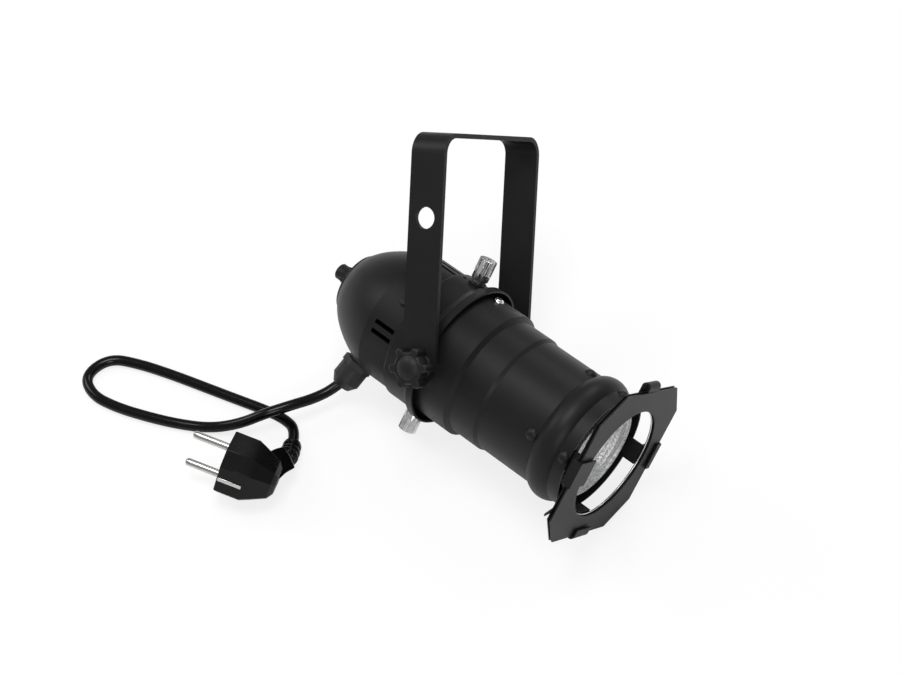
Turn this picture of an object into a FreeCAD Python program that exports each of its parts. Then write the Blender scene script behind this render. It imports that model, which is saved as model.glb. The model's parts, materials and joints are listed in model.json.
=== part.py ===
import FreeCAD, Part
import math
import os

V = FreeCAD.Vector
os.makedirs("parts", exist_ok=True)

# A small PAR spotlight with its yoke, gel frame and mains lead, lying on a surface.
# It is built in the can's own frame and laid down at the end:
# X runs along the can towards the lamp's face, Y along the yoke's pivot axis, and
# Z away from the bottom of the can. X = 0 is the pivot axis. All sizes are in mm.

# ---------------------------------------------------------------- driving dimensions
WALL = 1.0                # sheet of the tube and the housing

# Front tube: three stepped diameters, a rolled bead and a short neck.
TUBE_BACK_X = -20.0
TUBE_REAR_R = 34.8
TUBE_MID_R = 32.5
TUBE_FRONT_R = 31.5
BEAD_R = 34.4
NECK_R = 31.9
STEP_1_X = 15.2           # where the rear diameter ends
STEP_2_X = 32.8           # where the middle diameter ends
STEP_RUN = 2.0            # axial run of each step
BEAD_BACK_X = 66.0
BEAD_TOP_X = 72.0
BEAD_FRONT_X = 79.5
TUBE_FRONT_X = 86.0

# Rear housing: collar, band that carries the thumb screws, vented band and dome.
COLLAR_R = 38.8
COLLAR_FRONT_X = -2.5
COLLAR_BACK_X = -6.5
HOUSING_R = 36.2
VENT_BAND_R = 34.9
COLLAR_ROOT_X = -10.5
VENT_BAND_X = -24.0
DOME_X = -42.3
DOME_MID = (-67.3, 24.0)
DISC_EDGE = (-74.6, 17.0)
DISC_RAISE = 1.0
POLE_X = -80.5
VENT_LENGTH = 12.4
VENT_WIDTH = 2.4
VENT_PITCH = 5.2
VENT_X = -32.0

# Yoke: one bent strap.
YOKE_SPAN = 91.7          # outside to outside of the legs
YOKE_THICK = 2.4
YOKE_WIDTH = 18.8
YOKE_HEIGHT = 113.0       # pivot axis to the outside of the crossbar
YOKE_BEND_R = 10.0
YOKE_LEAN = -25.9         # degrees from Z, towards the rear at rest
LEG_HOLE_R = 5.3
LEG_HOLE_Z = 72.0
BAR_HOLE_R = 5.3

# Pivots and clamp knobs.
STUD_R = 2.5
RUNNING = 0.05            # radial running clearance of every turning or sliding fit
FACE_GAP = 0.3            # gap between faces of pieces that move against each other
BUSH_R = 4.0
BUSH_FLANGE_R = 5.5
BUSH_FLANGE_T = 1.4
PIVOT_WASHER_R = 8.2
PIVOT_WASHER_T = 0.6
CLAMP_WASHER_R = 7.0
CLAMP_WASHER_T = 1.0
KNOB_HUB_T = 0.6
KNOB_STAR_T = 8.0
KNOB_CORE_R = 8.0
LOBE_R = 2.1
LOBE_PITCH_R = 8.8
LOBE_COUNT = 6
LOBE_ANGLE = 31.4
KNOB_DOME_R = 7.0
KNOB_DOME_H = 1.8

# Thumb screws that hold the tube in the housing.
THUMB_X = -13.7
THUMB_STEM_R = 2.0
THUMB_HEAD_R = 4.7
THUMB_HEAD_L = 8.9
THUMB_NECK_R = 3.4
THUMB_NECK_L = 1.0
THUMB_REACH = 1.0         # how far the stem stands into the tube
SCREW_BOSS_R = 4.6
SCREW_BOSS_H = 1.2

# Lamp, its socket and the slide that carries them.
LAMP_R = 25.2
LAMP_FACE_X = 85.6
LAMP_LENGTH = 44.6
LAMP_PIN_R = 2.2
LAMP_PIN_L = 6.4
LAMP_PIN_PITCH = 10.0
SOCKET_WIDE = 27.0
SOCKET_HIGH = 18.0
SOCKET_LONG = 14.6
ROD_R = 2.0
PLATE_X = 20.0
PLATE_T = 1.2
PLATE_R = 28.0
FOCUS_KNOB_R = 4.8
FOCUS_KNOB_L = 8.3
FOCUS_KNOB_GAP = 0.5

# Gel frame and the four arms that hold it.
ARM_WIDTH = 11.0
ARM_T = 1.0
ARM_BACK_X = 58.0
FRAME_ACROSS = 82.0
FRAME_CORNER = 14.5
FRAME_HOLE_R = 30.1
REAR_LEAF_X = 93.5
REAR_LEAF_T = 0.6
FRONT_LEAF_X = 95.0
FRONT_LEAF_T = 0.8
FRAME_PLAY = 0.9
CLIP_WIDTH = 14.0
RIVET_R = 3.0
RIVET_H = 0.9
RIVET_XS = (62.8, 82.8)

# Cable gland and lead.
GLAND_ANGLE = -103.0      # round the can, from +Y
GLAND_X = -51.2
GLAND_TILT = 8.5          # degrees from radial, towards the rear
GLAND_LENGTH = 16.1       # from the dome's surface to the mouth of the nut
GLAND_REST = 13.2         # height of the nut's mouth above the surface at rest
CORD_R = 2.8


# ---------------------------------------------------------------- helpers
def cylinder_x(x0, x1, r):
    return Part.makeCylinder(r, x1 - x0, V(x0, 0, 0), V(1, 0, 0))


def ring_x(x0, x1, r_out, r_in):
    return cylinder_x(x0, x1, r_out).cut(cylinder_x(x0 - 1, x1 + 1, r_in))


def cylinder_between(a, b, r):
    return Part.makeCylinder(r, (b - a).Length, a, b - a)


def box(x0, x1, y0, y1, z0, z1):
    return Part.makeBox(x1 - x0, y1 - y0, z1 - z0, V(x0, y0, z0))


def outline_edges(steps, to_point):
    """Edges of a closed outline. A step of two numbers is a corner, and a step of
    four is an arc through its first point to its second."""
    start = to_point(*steps[0])
    here = start
    edges = []
    for step in steps[1:]:
        there = to_point(*step[-2:])
        if len(step) == 4:
            edges.append(Part.Arc(here, to_point(*step[:2]), there).toShape())
        else:
            edges.append(Part.makeLine(here, there))
        here = there
    if (here - start).Length > 1e-6:
        edges.append(Part.makeLine(here, start))
    return edges


def turned(steps):
    """A solid turned about X from an outline of (x, radius) steps."""
    wire = Part.Wire(outline_edges(steps, lambda x, r: V(x, 0, r)))
    return Part.Face(wire).revolve(V(0, 0, 0), V(1, 0, 0), 360)


def extruded(steps, to_point, run):
    """A solid swept along the vector run from a flat outline."""
    return Part.Face(Part.Wire(outline_edges(steps, to_point))).extrude(run)


def about_x(shape, degrees):
    copy = shape.copy()
    copy.rotate(V(0, 0, 0), V(1, 0, 0), degrees)
    return copy


def joined(shapes):
    first, rest = shapes[0], shapes[1:]
    return first.fuse(rest).removeSplitter() if rest else first


def radial(angle, r, x=0.0):
    """The point at a radius and an angle round the can, from +Y towards +Z."""
    return V(x, r * math.cos(math.radians(angle)), r * math.sin(math.radians(angle)))


nodes = {}


# ---------------------------------------------------------------- front tube
def tube_side(inset):
    """The tube's side as steps, from its back to its front, inset by a wall."""
    step_1 = STEP_1_X + STEP_RUN
    step_2 = STEP_2_X + STEP_RUN
    return [
        (TUBE_BACK_X, TUBE_REAR_R - inset),
        (STEP_1_X, TUBE_REAR_R - inset),
        (step_1, TUBE_MID_R - inset),
        (STEP_2_X, TUBE_MID_R - inset),
        (step_2, TUBE_FRONT_R - inset),
        (BEAD_BACK_X, TUBE_FRONT_R - inset),
        (BEAD_TOP_X, BEAD_R - inset, BEAD_FRONT_X, NECK_R - inset),
    ]


def mirrored_steps(steps):
    """The same run of steps, walked the other way."""
    back = [steps[-1][-2:]]
    for i in range(len(steps) - 1, 0, -1):
        end = steps[i - 1][-2:]
        back.append(steps[i][:2] + end if len(steps[i]) == 4 else end)
    return back


tube_outer = tube_side(0.0) + [(TUBE_FRONT_X, NECK_R)]
tube_inner = mirrored_steps(tube_side(WALL) + [(TUBE_FRONT_X, NECK_R - WALL)])
front_tube = turned(tube_outer + tube_inner)
for side in (-1, 1):
    front_tube = front_tube.cut(
        cylinder_between(V(0, side * 20, 0), V(0, side * 50, 0), BUSH_R))
    front_tube = front_tube.cut(
        cylinder_between(V(THUMB_X, 0, side * 20), V(THUMB_X, 0, side * 50),
                         THUMB_STEM_R + 0.3))
BOND_SCREW_X = 1.0
BOND_SCREW_R = 1.5
front_tube = front_tube.cut(
    cylinder_between(V(BOND_SCREW_X, 0, 20), V(BOND_SCREW_X, 0, 50), BOND_SCREW_R))
RIVET_SHANK_R = 1.6
for angle in (0, 90, 180, 270):
    for x in RIVET_XS:
        front_tube = front_tube.cut(
            cylinder_between(radial(angle, 20, x), radial(angle, 50, x), RIVET_SHANK_R))
nodes["front_tube"] = front_tube


# ---------------------------------------------------------------- rear housing
def housing_side(inset):
    """Collar, housing band, vented band and dome, from the front to the disc's edge."""
    lift = inset * 0.4
    band_r = TUBE_REAR_R if inset else HOUSING_R
    return [
        (COLLAR_FRONT_X, COLLAR_R - inset),
        (COLLAR_BACK_X - lift, COLLAR_R - inset),
        (COLLAR_ROOT_X - lift, band_r),
        (VENT_BAND_X + 0.5 - lift, band_r),
        (VENT_BAND_X - 1.0, VENT_BAND_R - inset),
        (DOME_X, VENT_BAND_R - inset),
        (DOME_X - 13.7 + inset * 0.5, 30.5 - inset * 0.9,
         DOME_MID[0] + inset * 0.7, DOME_MID[1] - inset * 0.75),
        (-71.2 + inset * 0.7, 20.7 - inset * 0.7,
         DISC_EDGE[0] + inset * 0.8, DISC_EDGE[1] - inset * 0.6),
    ]


POLE_FLAT_R = 5.4
bush_hole_r = ROD_R + 0.9
disc_outer = [
    (DISC_EDGE[0] - DISC_RAISE, DISC_EDGE[1] - 0.3),
    (POLE_X + 1.9, 11.0, POLE_X, POLE_FLAT_R),
    (POLE_X, bush_hole_r),
]
disc_inner = [
    (POLE_X + WALL, bush_hole_r),
    (POLE_X + WALL, POLE_FLAT_R),
    (POLE_X + 2.9, 10.6, DISC_EDGE[0] + 0.8 * WALL, DISC_EDGE[1] - 0.6 * WALL),
]
housing = turned(housing_side(0.0) + disc_outer + disc_inner
                 + mirrored_steps(housing_side(WALL))[1:])
for angle in (0, 90, 180, 270):
    for offset in (-VENT_PITCH / 2, VENT_PITCH / 2):
        half = VENT_WIDTH / 2
        x0 = VENT_X - VENT_LENGTH / 2
        x1 = VENT_X + VENT_LENGTH / 2
        slot = box(x0, x1, 25, 45, offset - half, offset + half)
        housing = housing.cut(about_x(slot, angle))
WEEP_HOLE_R = 1.1
housing = housing.cut(cylinder_between(radial(93, 20, -20.6), radial(93, 50, -20.6),
                                       WEEP_HOLE_R))
PIVOT_NOTCH_R = 6.2
for side in (-1, 1):
    housing = housing.cut(
        cylinder_between(V(0, side * 20, 0), V(0, side * 60, 0), PIVOT_NOTCH_R))
    housing = housing.cut(
        cylinder_between(V(THUMB_X, 0, side * 20), V(THUMB_X, 0, side * 50),
                         THUMB_STEM_R + 0.3))
BAND_SCREW_X = -30.5
BAND_SCREW_ANGLES = (150, 124)
BAND_SCREW_R = 1.4
for angle in BAND_SCREW_ANGLES:
    housing = housing.cut(cylinder_between(
        radial(angle, 20, BAND_SCREW_X), radial(angle, 50, BAND_SCREW_X), BAND_SCREW_R))

# The gland sits on the dome, square to it within its tilt.
tilt = math.radians(GLAND_TILT)
gland_out = radial(GLAND_ANGLE, math.cos(tilt)) + V(-math.sin(tilt), 0, 0)
DOME_R_AT_GLAND = 32.6
gland_seat = radial(GLAND_ANGLE, DOME_R_AT_GLAND, GLAND_X)
gland_mouth = gland_seat + gland_out * GLAND_LENGTH
GLAND_THREAD_R = 6.0


def along_gland(start, end, r):
    return cylinder_between(gland_seat + gland_out * start, gland_seat + gland_out * end, r)


housing = housing.cut(along_gland(-12, 8, GLAND_THREAD_R))
nodes["rear_housing"] = housing

# Brass bush that guides the focus rod through the pole of the dome.
rod_bush = turned([
    (POLE_X, ROD_R + RUNNING),
    (POLE_X, bush_hole_r),
    (POLE_X + WALL, bush_hole_r),
    (POLE_X + WALL, 4.8),
    (POLE_X + 3.0, 4.8),
    (POLE_X + 3.0, 3.6),
    (POLE_X + 9.0, 3.6),
    (POLE_X + 9.0, ROD_R + RUNNING),
])
nodes["rod_bush"] = rod_bush


# ---------------------------------------------------------------- screws and bosses
def thumb_screw(side):
    boss_top = HOUSING_R + SCREW_BOSS_H
    neck = boss_top + FACE_GAP
    head = neck + THUMB_NECK_L
    tip = TUBE_REAR_R - WALL - THUMB_REACH

    def at(r):
        return V(THUMB_X, 0, side * r)

    knurl = cylinder_between(at(head), at(head + THUMB_HEAD_L), THUMB_HEAD_R)
    edges = [e for e in knurl.Edges if len(e.Vertexes) == 1]
    knurl = knurl.makeChamfer(0.5, edges)
    return joined([knurl,
                   cylinder_between(at(neck), at(head + 1), THUMB_NECK_R),
                   cylinder_between(at(tip), at(head + 1), THUMB_STEM_R)])


def screw_boss(side):
    ring = cylinder_between(V(THUMB_X, 0, side * (HOUSING_R - 1.5)),
                            V(THUMB_X, 0, side * (HOUSING_R + SCREW_BOSS_H)), SCREW_BOSS_R)
    ring = ring.cut(cylinder_x(THUMB_X - 10, THUMB_X + 10, HOUSING_R)).cut(housing)
    ring = ring.cut(cylinder_between(V(THUMB_X, 0, side * 30), V(THUMB_X, 0, side * 45),
                                     THUMB_STEM_R + RUNNING))
    return max(ring.Solids, key=lambda solid: solid.Volume)


nodes["thumb_screw_top"] = thumb_screw(1)
nodes["thumb_screw_bottom"] = thumb_screw(-1)
nodes["screw_bosses"] = Part.makeCompound([screw_boss(1), screw_boss(-1)])


def pan_head(x, angle, surface_r, head_r, head_h, shank_r, shank_in):
    """A pan-head screw or a rivet set radially, with its shank into the can."""
    seat = radial(angle, surface_r - 0.4, x)
    head = cylinder_between(seat, radial(angle, surface_r + head_h, x), head_r)
    rim = [e for e in head.Edges
           if len(e.Vertexes) == 1 and e.CenterOfMass.sub(V(x, 0, 0)).Length > surface_r]
    head = head.makeFillet(head_h * 0.8, rim)
    head = head.cut(cylinder_x(x - 10, x + 10, surface_r))
    shank = cylinder_between(radial(angle, shank_in, x), radial(angle, surface_r + 0.2, x),
                             shank_r)
    return joined([head, shank])


bracket_in_r = VENT_BAND_R - WALL - 1.0
nodes["band_screws"] = Part.makeCompound([
    pan_head(BAND_SCREW_X, angle, VENT_BAND_R, 2.3, 1.4, BAND_SCREW_R, bracket_in_r - 2.0)
    for angle in BAND_SCREW_ANGLES])

bond_screw = pan_head(BOND_SCREW_X, 90, TUBE_REAR_R, 2.9, 1.7, BOND_SCREW_R,
                      TUBE_REAR_R - WALL - 4.4)
nodes["bond_screw"] = bond_screw
nut_outer = TUBE_REAR_R - WALL - 0.3
bond_nut = Part.makePolygon([
    V(BOND_SCREW_X + 3.2 * math.cos(math.radians(60 * i)),
      3.2 * math.sin(math.radians(60 * i)), nut_outer - 2.4) for i in range(7)])
bond_nut = Part.Face(bond_nut).extrude(V(0, 0, 2.4))
nodes["bond_nut"] = bond_nut.cut(
    cylinder_between(V(BOND_SCREW_X, 0, 20), V(BOND_SCREW_X, 0, 50), BOND_SCREW_R))

# ---------------------------------------------------------------- terminal block
bracket_arc = ring_x(BAND_SCREW_X - 4, BAND_SCREW_X + 4, VENT_BAND_R - WALL, bracket_in_r)
bracket_mid = sum(BAND_SCREW_ANGLES) / 2.0
bracket_span = 22.0
wedge = Part.makeCylinder(60, 20, V(BAND_SCREW_X - 10, 0, 0), V(1, 0, 0), 2 * bracket_span)
# makeCylinder's wedge starts at an axis of its own, so it is measured and turned.
wedge_start = math.degrees(math.atan2(wedge.CenterOfMass.z, wedge.CenterOfMass.y))
wedge.rotate(V(0, 0, 0), V(1, 0, 0), bracket_mid - wedge_start)
bracket = bracket_arc.common(wedge)
BLOCK_R0 = 17.0
BLOCK_R1 = 26.0
tab = box(BAND_SCREW_X - 4, BAND_SCREW_X - 3, BLOCK_R0, bracket_in_r - 0.3, -7, 7)
bracket = joined([bracket, about_x(tab, bracket_mid)])
for angle in BAND_SCREW_ANGLES:
    bracket = bracket.cut(cylinder_between(
        radial(angle, 20, BAND_SCREW_X), radial(angle, 50, BAND_SCREW_X), BAND_SCREW_R))
nodes["terminal_bracket"] = bracket

block = box(BAND_SCREW_X - 16, BAND_SCREW_X - 4, BLOCK_R0, BLOCK_R1, -9, 9)
TERMINALS = (-6, 0, 6)
for z in TERMINALS:
    block = block.cut(cylinder_between(V(BAND_SCREW_X - 10, BLOCK_R0 - 1, z),
                                       V(BAND_SCREW_X - 10, BLOCK_R0 + 4, z), 1.6))
nodes["terminal_block"] = about_x(block, bracket_mid)
nodes["terminal_screws"] = Part.makeCompound([
    about_x(cylinder_between(V(BAND_SCREW_X - 10, BLOCK_R0 + 1, z),
                             V(BAND_SCREW_X - 10, BLOCK_R0 + 4, z), 1.6), bracket_mid)
    for z in TERMINALS])


# ---------------------------------------------------------------- yoke
def yoke_strap():
    half = YOKE_SPAN / 2
    inner = half - YOKE_THICK
    top = YOKE_HEIGHT
    under = YOKE_HEIGHT - YOKE_THICK
    bend_in = YOKE_BEND_R - YOKE_THICK
    k = 1 - math.sqrt(0.5)
    steps = [
        (-half, 0), (-half, top - YOKE_BEND_R),
        (-half + k * YOKE_BEND_R, top - k * YOKE_BEND_R, -half + YOKE_BEND_R, top),
        (half - YOKE_BEND_R, top),
        (half - k * YOKE_BEND_R, top - k * YOKE_BEND_R, half, top - YOKE_BEND_R),
        (half, 0), (inner, 0), (inner, under - bend_in),
        (inner - k * bend_in, under - k * bend_in, inner - bend_in, under),
        (-inner + bend_in, under),
        (-inner + k * bend_in, under - k * bend_in, -inner, under - bend_in),
        (-inner, 0),
    ]
    strap = extruded(steps, lambda y, z: V(-YOKE_WIDTH / 2, y, z), V(YOKE_WIDTH, 0, 0))
    ends = [cylinder_between(V(0, side * inner, 0), V(0, side * half, 0), YOKE_WIDTH / 2)
            for side in (-1, 1)]
    strap = joined([strap] + ends)
    for side in (-1, 1):
        strap = strap.cut(cylinder_between(V(0, side * 30, 0), V(0, side * 60, 0),
                                           STUD_R + RUNNING))
    strap = strap.cut(cylinder_between(V(0, -60, LEG_HOLE_Z), V(0, -30, LEG_HOLE_Z),
                                       LEG_HOLE_R))
    strap = strap.cut(cylinder_between(V(0, 0, top - 20), V(0, 0, top + 20), BAR_HOLE_R))
    strap.rotate(V(0, 0, 0), V(0, 1, 0), YOKE_LEAN)
    return strap


nodes["yoke"] = yoke_strap()

leg_in = YOKE_SPAN / 2 - YOKE_THICK
leg_out = YOKE_SPAN / 2
bush_end = leg_in - PIVOT_WASHER_T - FACE_GAP
hub_start = leg_out + CLAMP_WASHER_T + FACE_GAP
star_start = hub_start + KNOB_HUB_T
star_end = star_start + KNOB_STAR_T


def pivot_bush(side):
    def at(y):
        return V(0, side * y, 0)

    tube_in = TUBE_REAR_R - WALL
    flange = cylinder_between(at(tube_in - BUSH_FLANGE_T - 0.5), at(tube_in + 2), BUSH_FLANGE_R)
    flange = flange.common(cylinder_x(-10, 10, tube_in))
    body = joined([flange, cylinder_between(at(tube_in - BUSH_FLANGE_T - 0.5), at(bush_end),
                                            BUSH_R)])
    return body.cut(cylinder_between(at(20), at(60), STUD_R + RUNNING))


def pivot_ring(side, y0, y1, r):
    ring = cylinder_between(V(0, side * y0, 0), V(0, side * y1, 0), r)
    return ring.cut(cylinder_between(V(0, side * 20, 0), V(0, side * 60, 0),
                                     STUD_R + RUNNING))


def clamp_knob(side):
    def at(y, x=0.0, z=0.0):
        return V(x, side * y, z)

    pieces = [cylinder_between(at(hub_start), at(star_start + 1), CLAMP_WASHER_R - 0.4),
              cylinder_between(at(star_start), at(star_end), KNOB_CORE_R)]
    for i in range(LOBE_COUNT):
        a = math.radians(LOBE_ANGLE + 360.0 / LOBE_COUNT * i)
        x = LOBE_PITCH_R * math.cos(a)
        z = LOBE_PITCH_R * math.sin(a)
        pieces.append(cylinder_between(at(star_start, x, z), at(star_end, x, z), LOBE_R))
    ball_r = (KNOB_DOME_R ** 2 + KNOB_DOME_H ** 2) / (2 * KNOB_DOME_H)
    ball = Part.makeSphere(ball_r, at(star_end + KNOB_DOME_H - ball_r))
    cap = ball.common(cylinder_between(at(star_end - 0.2), at(star_end + 5), KNOB_CORE_R))
    knob = joined(pieces + [cap])
    return knob.cut(cylinder_between(at(20), at(star_end - 3.5), STUD_R))


for side, word in ((-1, "near"), (1, "far")):
    nodes["pivot_bush_" + word] = pivot_bush(side)
    nodes["pivot_washer_" + word] = pivot_ring(side, leg_in - PIVOT_WASHER_T, leg_in,
                                               PIVOT_WASHER_R)
    nodes["clamp_washer_" + word] = pivot_ring(side, leg_out, leg_out + CLAMP_WASHER_T,
                                               CLAMP_WASHER_R)
    nodes["clamp_knob_" + word] = clamp_knob(side)
    nodes["clamp_stud_" + word] = cylinder_between(
        V(0, side * (TUBE_REAR_R - WALL - 3.2), 0), V(0, side * (star_end - 3.5), 0), STUD_R)

# ---------------------------------------------------------------- lamp and its slide
knob_front = POLE_X - FOCUS_KNOB_GAP
knob_back = knob_front - FOCUS_KNOB_L
rod_end = PLATE_X + PLATE_T + 4.4
focus_knob = cylinder_x(knob_back, knob_front, FOCUS_KNOB_R)
focus_knob = focus_knob.makeChamfer(
    0.6, [e for e in focus_knob.Edges if len(e.Vertexes) == 1])
nodes["focus_knob"] = focus_knob.cut(cylinder_x(knob_back + 3, knob_front + 1, ROD_R))
nodes["focus_rod"] = cylinder_x(knob_back + 3, rod_end, ROD_R)


def hex_nut_x(x0, x1, across_corners, bore_r):
    ring = Part.makePolygon([
        V(x0, across_corners / 2 * math.cos(math.radians(60 * i)),
          across_corners / 2 * math.sin(math.radians(60 * i))) for i in range(7)])
    return Part.Face(ring).extrude(V(x1 - x0, 0, 0)).cut(cylinder_x(x0 - 1, x1 + 1, bore_r))


plate_front = PLATE_X + PLATE_T
nodes["rod_nuts"] = Part.makeCompound([
    hex_nut_x(PLATE_X - 3.2, PLATE_X, 8.1, ROD_R),
    hex_nut_x(plate_front, plate_front + 3.2, 8.1, ROD_R)])

LEAD_Z = -13.0
LEAD_YS = (-2.2, 2.2)
LEAD_R = 1.1
plate = cylinder_x(PLATE_X, plate_front, PLATE_R).cut(
    cylinder_x(PLATE_X - 1, plate_front + 1, ROD_R))
plate = plate.cut(cylinder_between(V(PLATE_X - 1, 0, LEAD_Z), V(plate_front + 1, 0, LEAD_Z),
                                   4.2))
for angle in (45, 135, 225, 315):
    centre = radial(angle, 20.5, PLATE_X - 1)
    plate = plate.cut(cylinder_between(centre, centre + V(PLATE_T + 2, 0, 0), 4.5))
nodes["carriage_plate"] = plate

lamp_back_x = LAMP_FACE_X - LAMP_LENGTH
socket_front = lamp_back_x
socket_back = socket_front - SOCKET_LONG
socket = box(socket_back, socket_front, -SOCKET_WIDE / 2, SOCKET_WIDE / 2,
             -SOCKET_HIGH / 2, SOCKET_HIGH / 2)
socket = socket.makeFillet(4.0, [e for e in socket.Edges
                                 if abs(e.tangentAt(e.FirstParameter).x) > 0.99])
for y in (-LAMP_PIN_PITCH / 2, LAMP_PIN_PITCH / 2):
    socket = socket.cut(cylinder_between(V(socket_front - LAMP_PIN_L - 1, y, 0),
                                         V(socket_front + 1, y, 0), LAMP_PIN_R + 0.4))
for y in (-9.6, 9.6):
    socket = socket.cut(cylinder_between(V(socket_back - 1, y, 0), V(socket_back + 5, y, 0),
                                         1.5))
nodes["lamp_socket"] = socket
nodes["socket_posts"] = Part.makeCompound([
    joined([cylinder_between(V(plate_front, y, 0), V(socket_back, y, 0), 2.6),
            cylinder_between(V(socket_back - 1, y, 0), V(socket_back + 5, y, 0), 1.5)])
    for y in (-9.6, 9.6)])
nodes["lamp_pins"] = Part.makeCompound([
    cylinder_between(V(lamp_back_x - LAMP_PIN_L, y, 0), V(lamp_back_x, y, 0), LAMP_PIN_R)
    for y in (-LAMP_PIN_PITCH / 2, LAMP_PIN_PITCH / 2)])

# The reflector is a bowl behind a front glass, on a base that carries the two pins.
rim_back = LAMP_FACE_X - 3.0
NECK_LAMP_R = 10.0
bowl_back = LAMP_FACE_X - 29.0
nodes["lamp_reflector"] = turned([
    (LAMP_FACE_X - 1.2, LAMP_R - 1.0), (LAMP_FACE_X, LAMP_R - 1.0), (LAMP_FACE_X, LAMP_R),
    (rim_back, LAMP_R), (rim_back - 0.4, LAMP_R - 1.0),
    (LAMP_FACE_X - 17.0, 19.0, bowl_back, NECK_LAMP_R), (bowl_back, 5.2),
    (bowl_back + 2.0, 5.2), (bowl_back + 2.2, 8.4),
    (LAMP_FACE_X - 16.0, 17.6, LAMP_FACE_X - 3.2, LAMP_R - 2.6),
    (LAMP_FACE_X - 1.2, LAMP_R - 2.6),
])
nodes["lamp_glass"] = turned([
    (LAMP_FACE_X - 1.2, 0), (LAMP_FACE_X - 1.2, LAMP_R - 1.0), (LAMP_FACE_X, LAMP_R - 1.0),
    (LAMP_FACE_X + 0.25, LAMP_R / 2), (LAMP_FACE_X + 0.35, 0),
])
nodes["lamp_base"] = turned([
    (lamp_back_x, 0), (lamp_back_x, 9.0), (lamp_back_x + 6.0, 9.4), (bowl_back, NECK_LAMP_R),
    (bowl_back, 0),
])
nodes["lamp_capsule"] = turned([
    (bowl_back, 0), (bowl_back, 4.4), (bowl_back + 11.0, 4.4),
    (bowl_back + 13.4, 3.4), (bowl_back + 15.0, 1.2), (bowl_back + 15.2, 0),
])


def lead(y):
    """A socket lead: straight back through the plate."""
    start = V(socket_back + 1, y, -6.0)
    bend = V(socket_back - 4.5, y, LEAD_Z)
    end = V(-8.0, y, LEAD_Z)
    return joined([cylinder_between(start, bend, LEAD_R), Part.makeSphere(LEAD_R, bend),
                   cylinder_between(bend, end, LEAD_R)]).cut(nodes["lamp_socket"])


nodes["lamp_leads"] = Part.makeCompound([lead(y) for y in LEAD_YS])

# ---------------------------------------------------------------- gel frame and arms
frame_half = FRAME_ACROSS / 2
frame_front = FRONT_LEAF_X + FRONT_LEAF_T
# A flat arm of this width just fits inside the round front of the tube.
arm_out = math.sqrt((TUBE_FRONT_R - WALL) ** 2 - (ARM_WIDTH / 2) ** 2)
arm_in = arm_out - ARM_T
arm_front_x = REAR_LEAF_X - FACE_GAP
web_in = frame_half + FRAME_PLAY
web_out = web_in + ARM_T
lip_back = frame_front + 0.5
lip_front = lip_back + ARM_T


def arm_solid(steps, width):
    """A bent strip in the X-Y plane, on the +Y side of the can."""
    return extruded(steps, lambda x, y: V(x, y, -width / 2), V(0, 0, width))


def arm_strip():
    return joined([box(ARM_BACK_X, arm_front_x, arm_in, arm_out, -ARM_WIDTH / 2,
                       ARM_WIDTH / 2),
                   box(arm_front_x - ARM_T, arm_front_x, arm_in, web_in, -ARM_WIDTH / 2,
                       ARM_WIDTH / 2)])


def drilled(arm):
    for x in RIVET_XS:
        arm = arm.cut(cylinder_between(V(x, 20, 0), V(x, 50, 0), RIVET_SHANK_R))
    return arm


def channel_arm(lip_length, width):
    """An arm whose end folds round the frame's edge, with a flat lip over its face."""
    hook = arm_solid([
        (arm_front_x - ARM_T, web_in - 4), (arm_front_x - ARM_T, web_out),
        (lip_front, web_out), (lip_front, web_out - lip_length),
        (lip_back, web_out - lip_length), (lip_back, web_in), (arm_front_x, web_in),
        (arm_front_x, web_in - 4)], width)
    return drilled(joined([arm_strip(), hook]))


def curled_arm(rise, lip_length, width):
    """An arm whose end curls over the frame's edge in a half round."""
    back = arm_front_x - ARM_T
    mid = (back + lip_front) / 2
    outer = (lip_front - back) / 2
    inner = outer - ARM_T
    base = web_in + rise
    hook = arm_solid([
        (back, web_in - 4), (back, base), (mid, base + outer, lip_front, base),
        (lip_front, base - lip_length), (lip_back, base - lip_length), (lip_back, base),
        (mid, base + inner, arm_front_x, base), (arm_front_x, web_in - 4)], width)
    return drilled(joined([arm_strip(), hook]))


NEAR_LIP = 14.5
nodes["gel_arm_near"] = about_x(channel_arm(NEAR_LIP, CLIP_WIDTH), 180)
nodes["gel_arm_far"] = curled_arm(-1.6, 3.4, CLIP_WIDTH)
nodes["gel_arm_bottom"] = about_x(curled_arm(-1.6, 3.4, CLIP_WIDTH), 270)
# The top clip is a latch: it hinges back, so that the gel frame can be lifted out.
HINGE_X = 89.8
HINGE_R = 1.6
HINGE_PIN_R = 0.8
KNUCKLE_HALF = 1.6
CURL_R = 2.4
CURL_LIFT = 0.6           # the curl's clearance above the frame's edge
hinge_y = (arm_in + arm_out) / 2


def hinge_cylinder(z0, z1, r):
    return cylinder_between(V(HINGE_X, hinge_y, z0), V(HINGE_X, hinge_y, z1), r)


latch_arm = box(ARM_BACK_X, HINGE_X, arm_in, arm_out, -ARM_WIDTH / 2, ARM_WIDTH / 2)
room = KNUCKLE_HALF + FACE_GAP
latch_arm = joined([
    latch_arm.cut(box(HINGE_X - HINGE_R - 0.5, HINGE_X + 5, 20, 40, -room, room)),
    hinge_cylinder(room, ARM_WIDTH / 2, HINGE_R),
    hinge_cylinder(-ARM_WIDTH / 2, -room, HINGE_R)])
latch_arm = drilled(latch_arm.cut(hinge_cylinder(-10, 10, HINGE_PIN_R)))
nodes["gel_arm_top"] = about_x(latch_arm, 90)
nodes["latch_pin"] = about_x(
    hinge_cylinder(-ARM_WIDTH / 2 - 0.6, ARM_WIDTH / 2 + 0.6, HINGE_PIN_R), 90)

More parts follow.
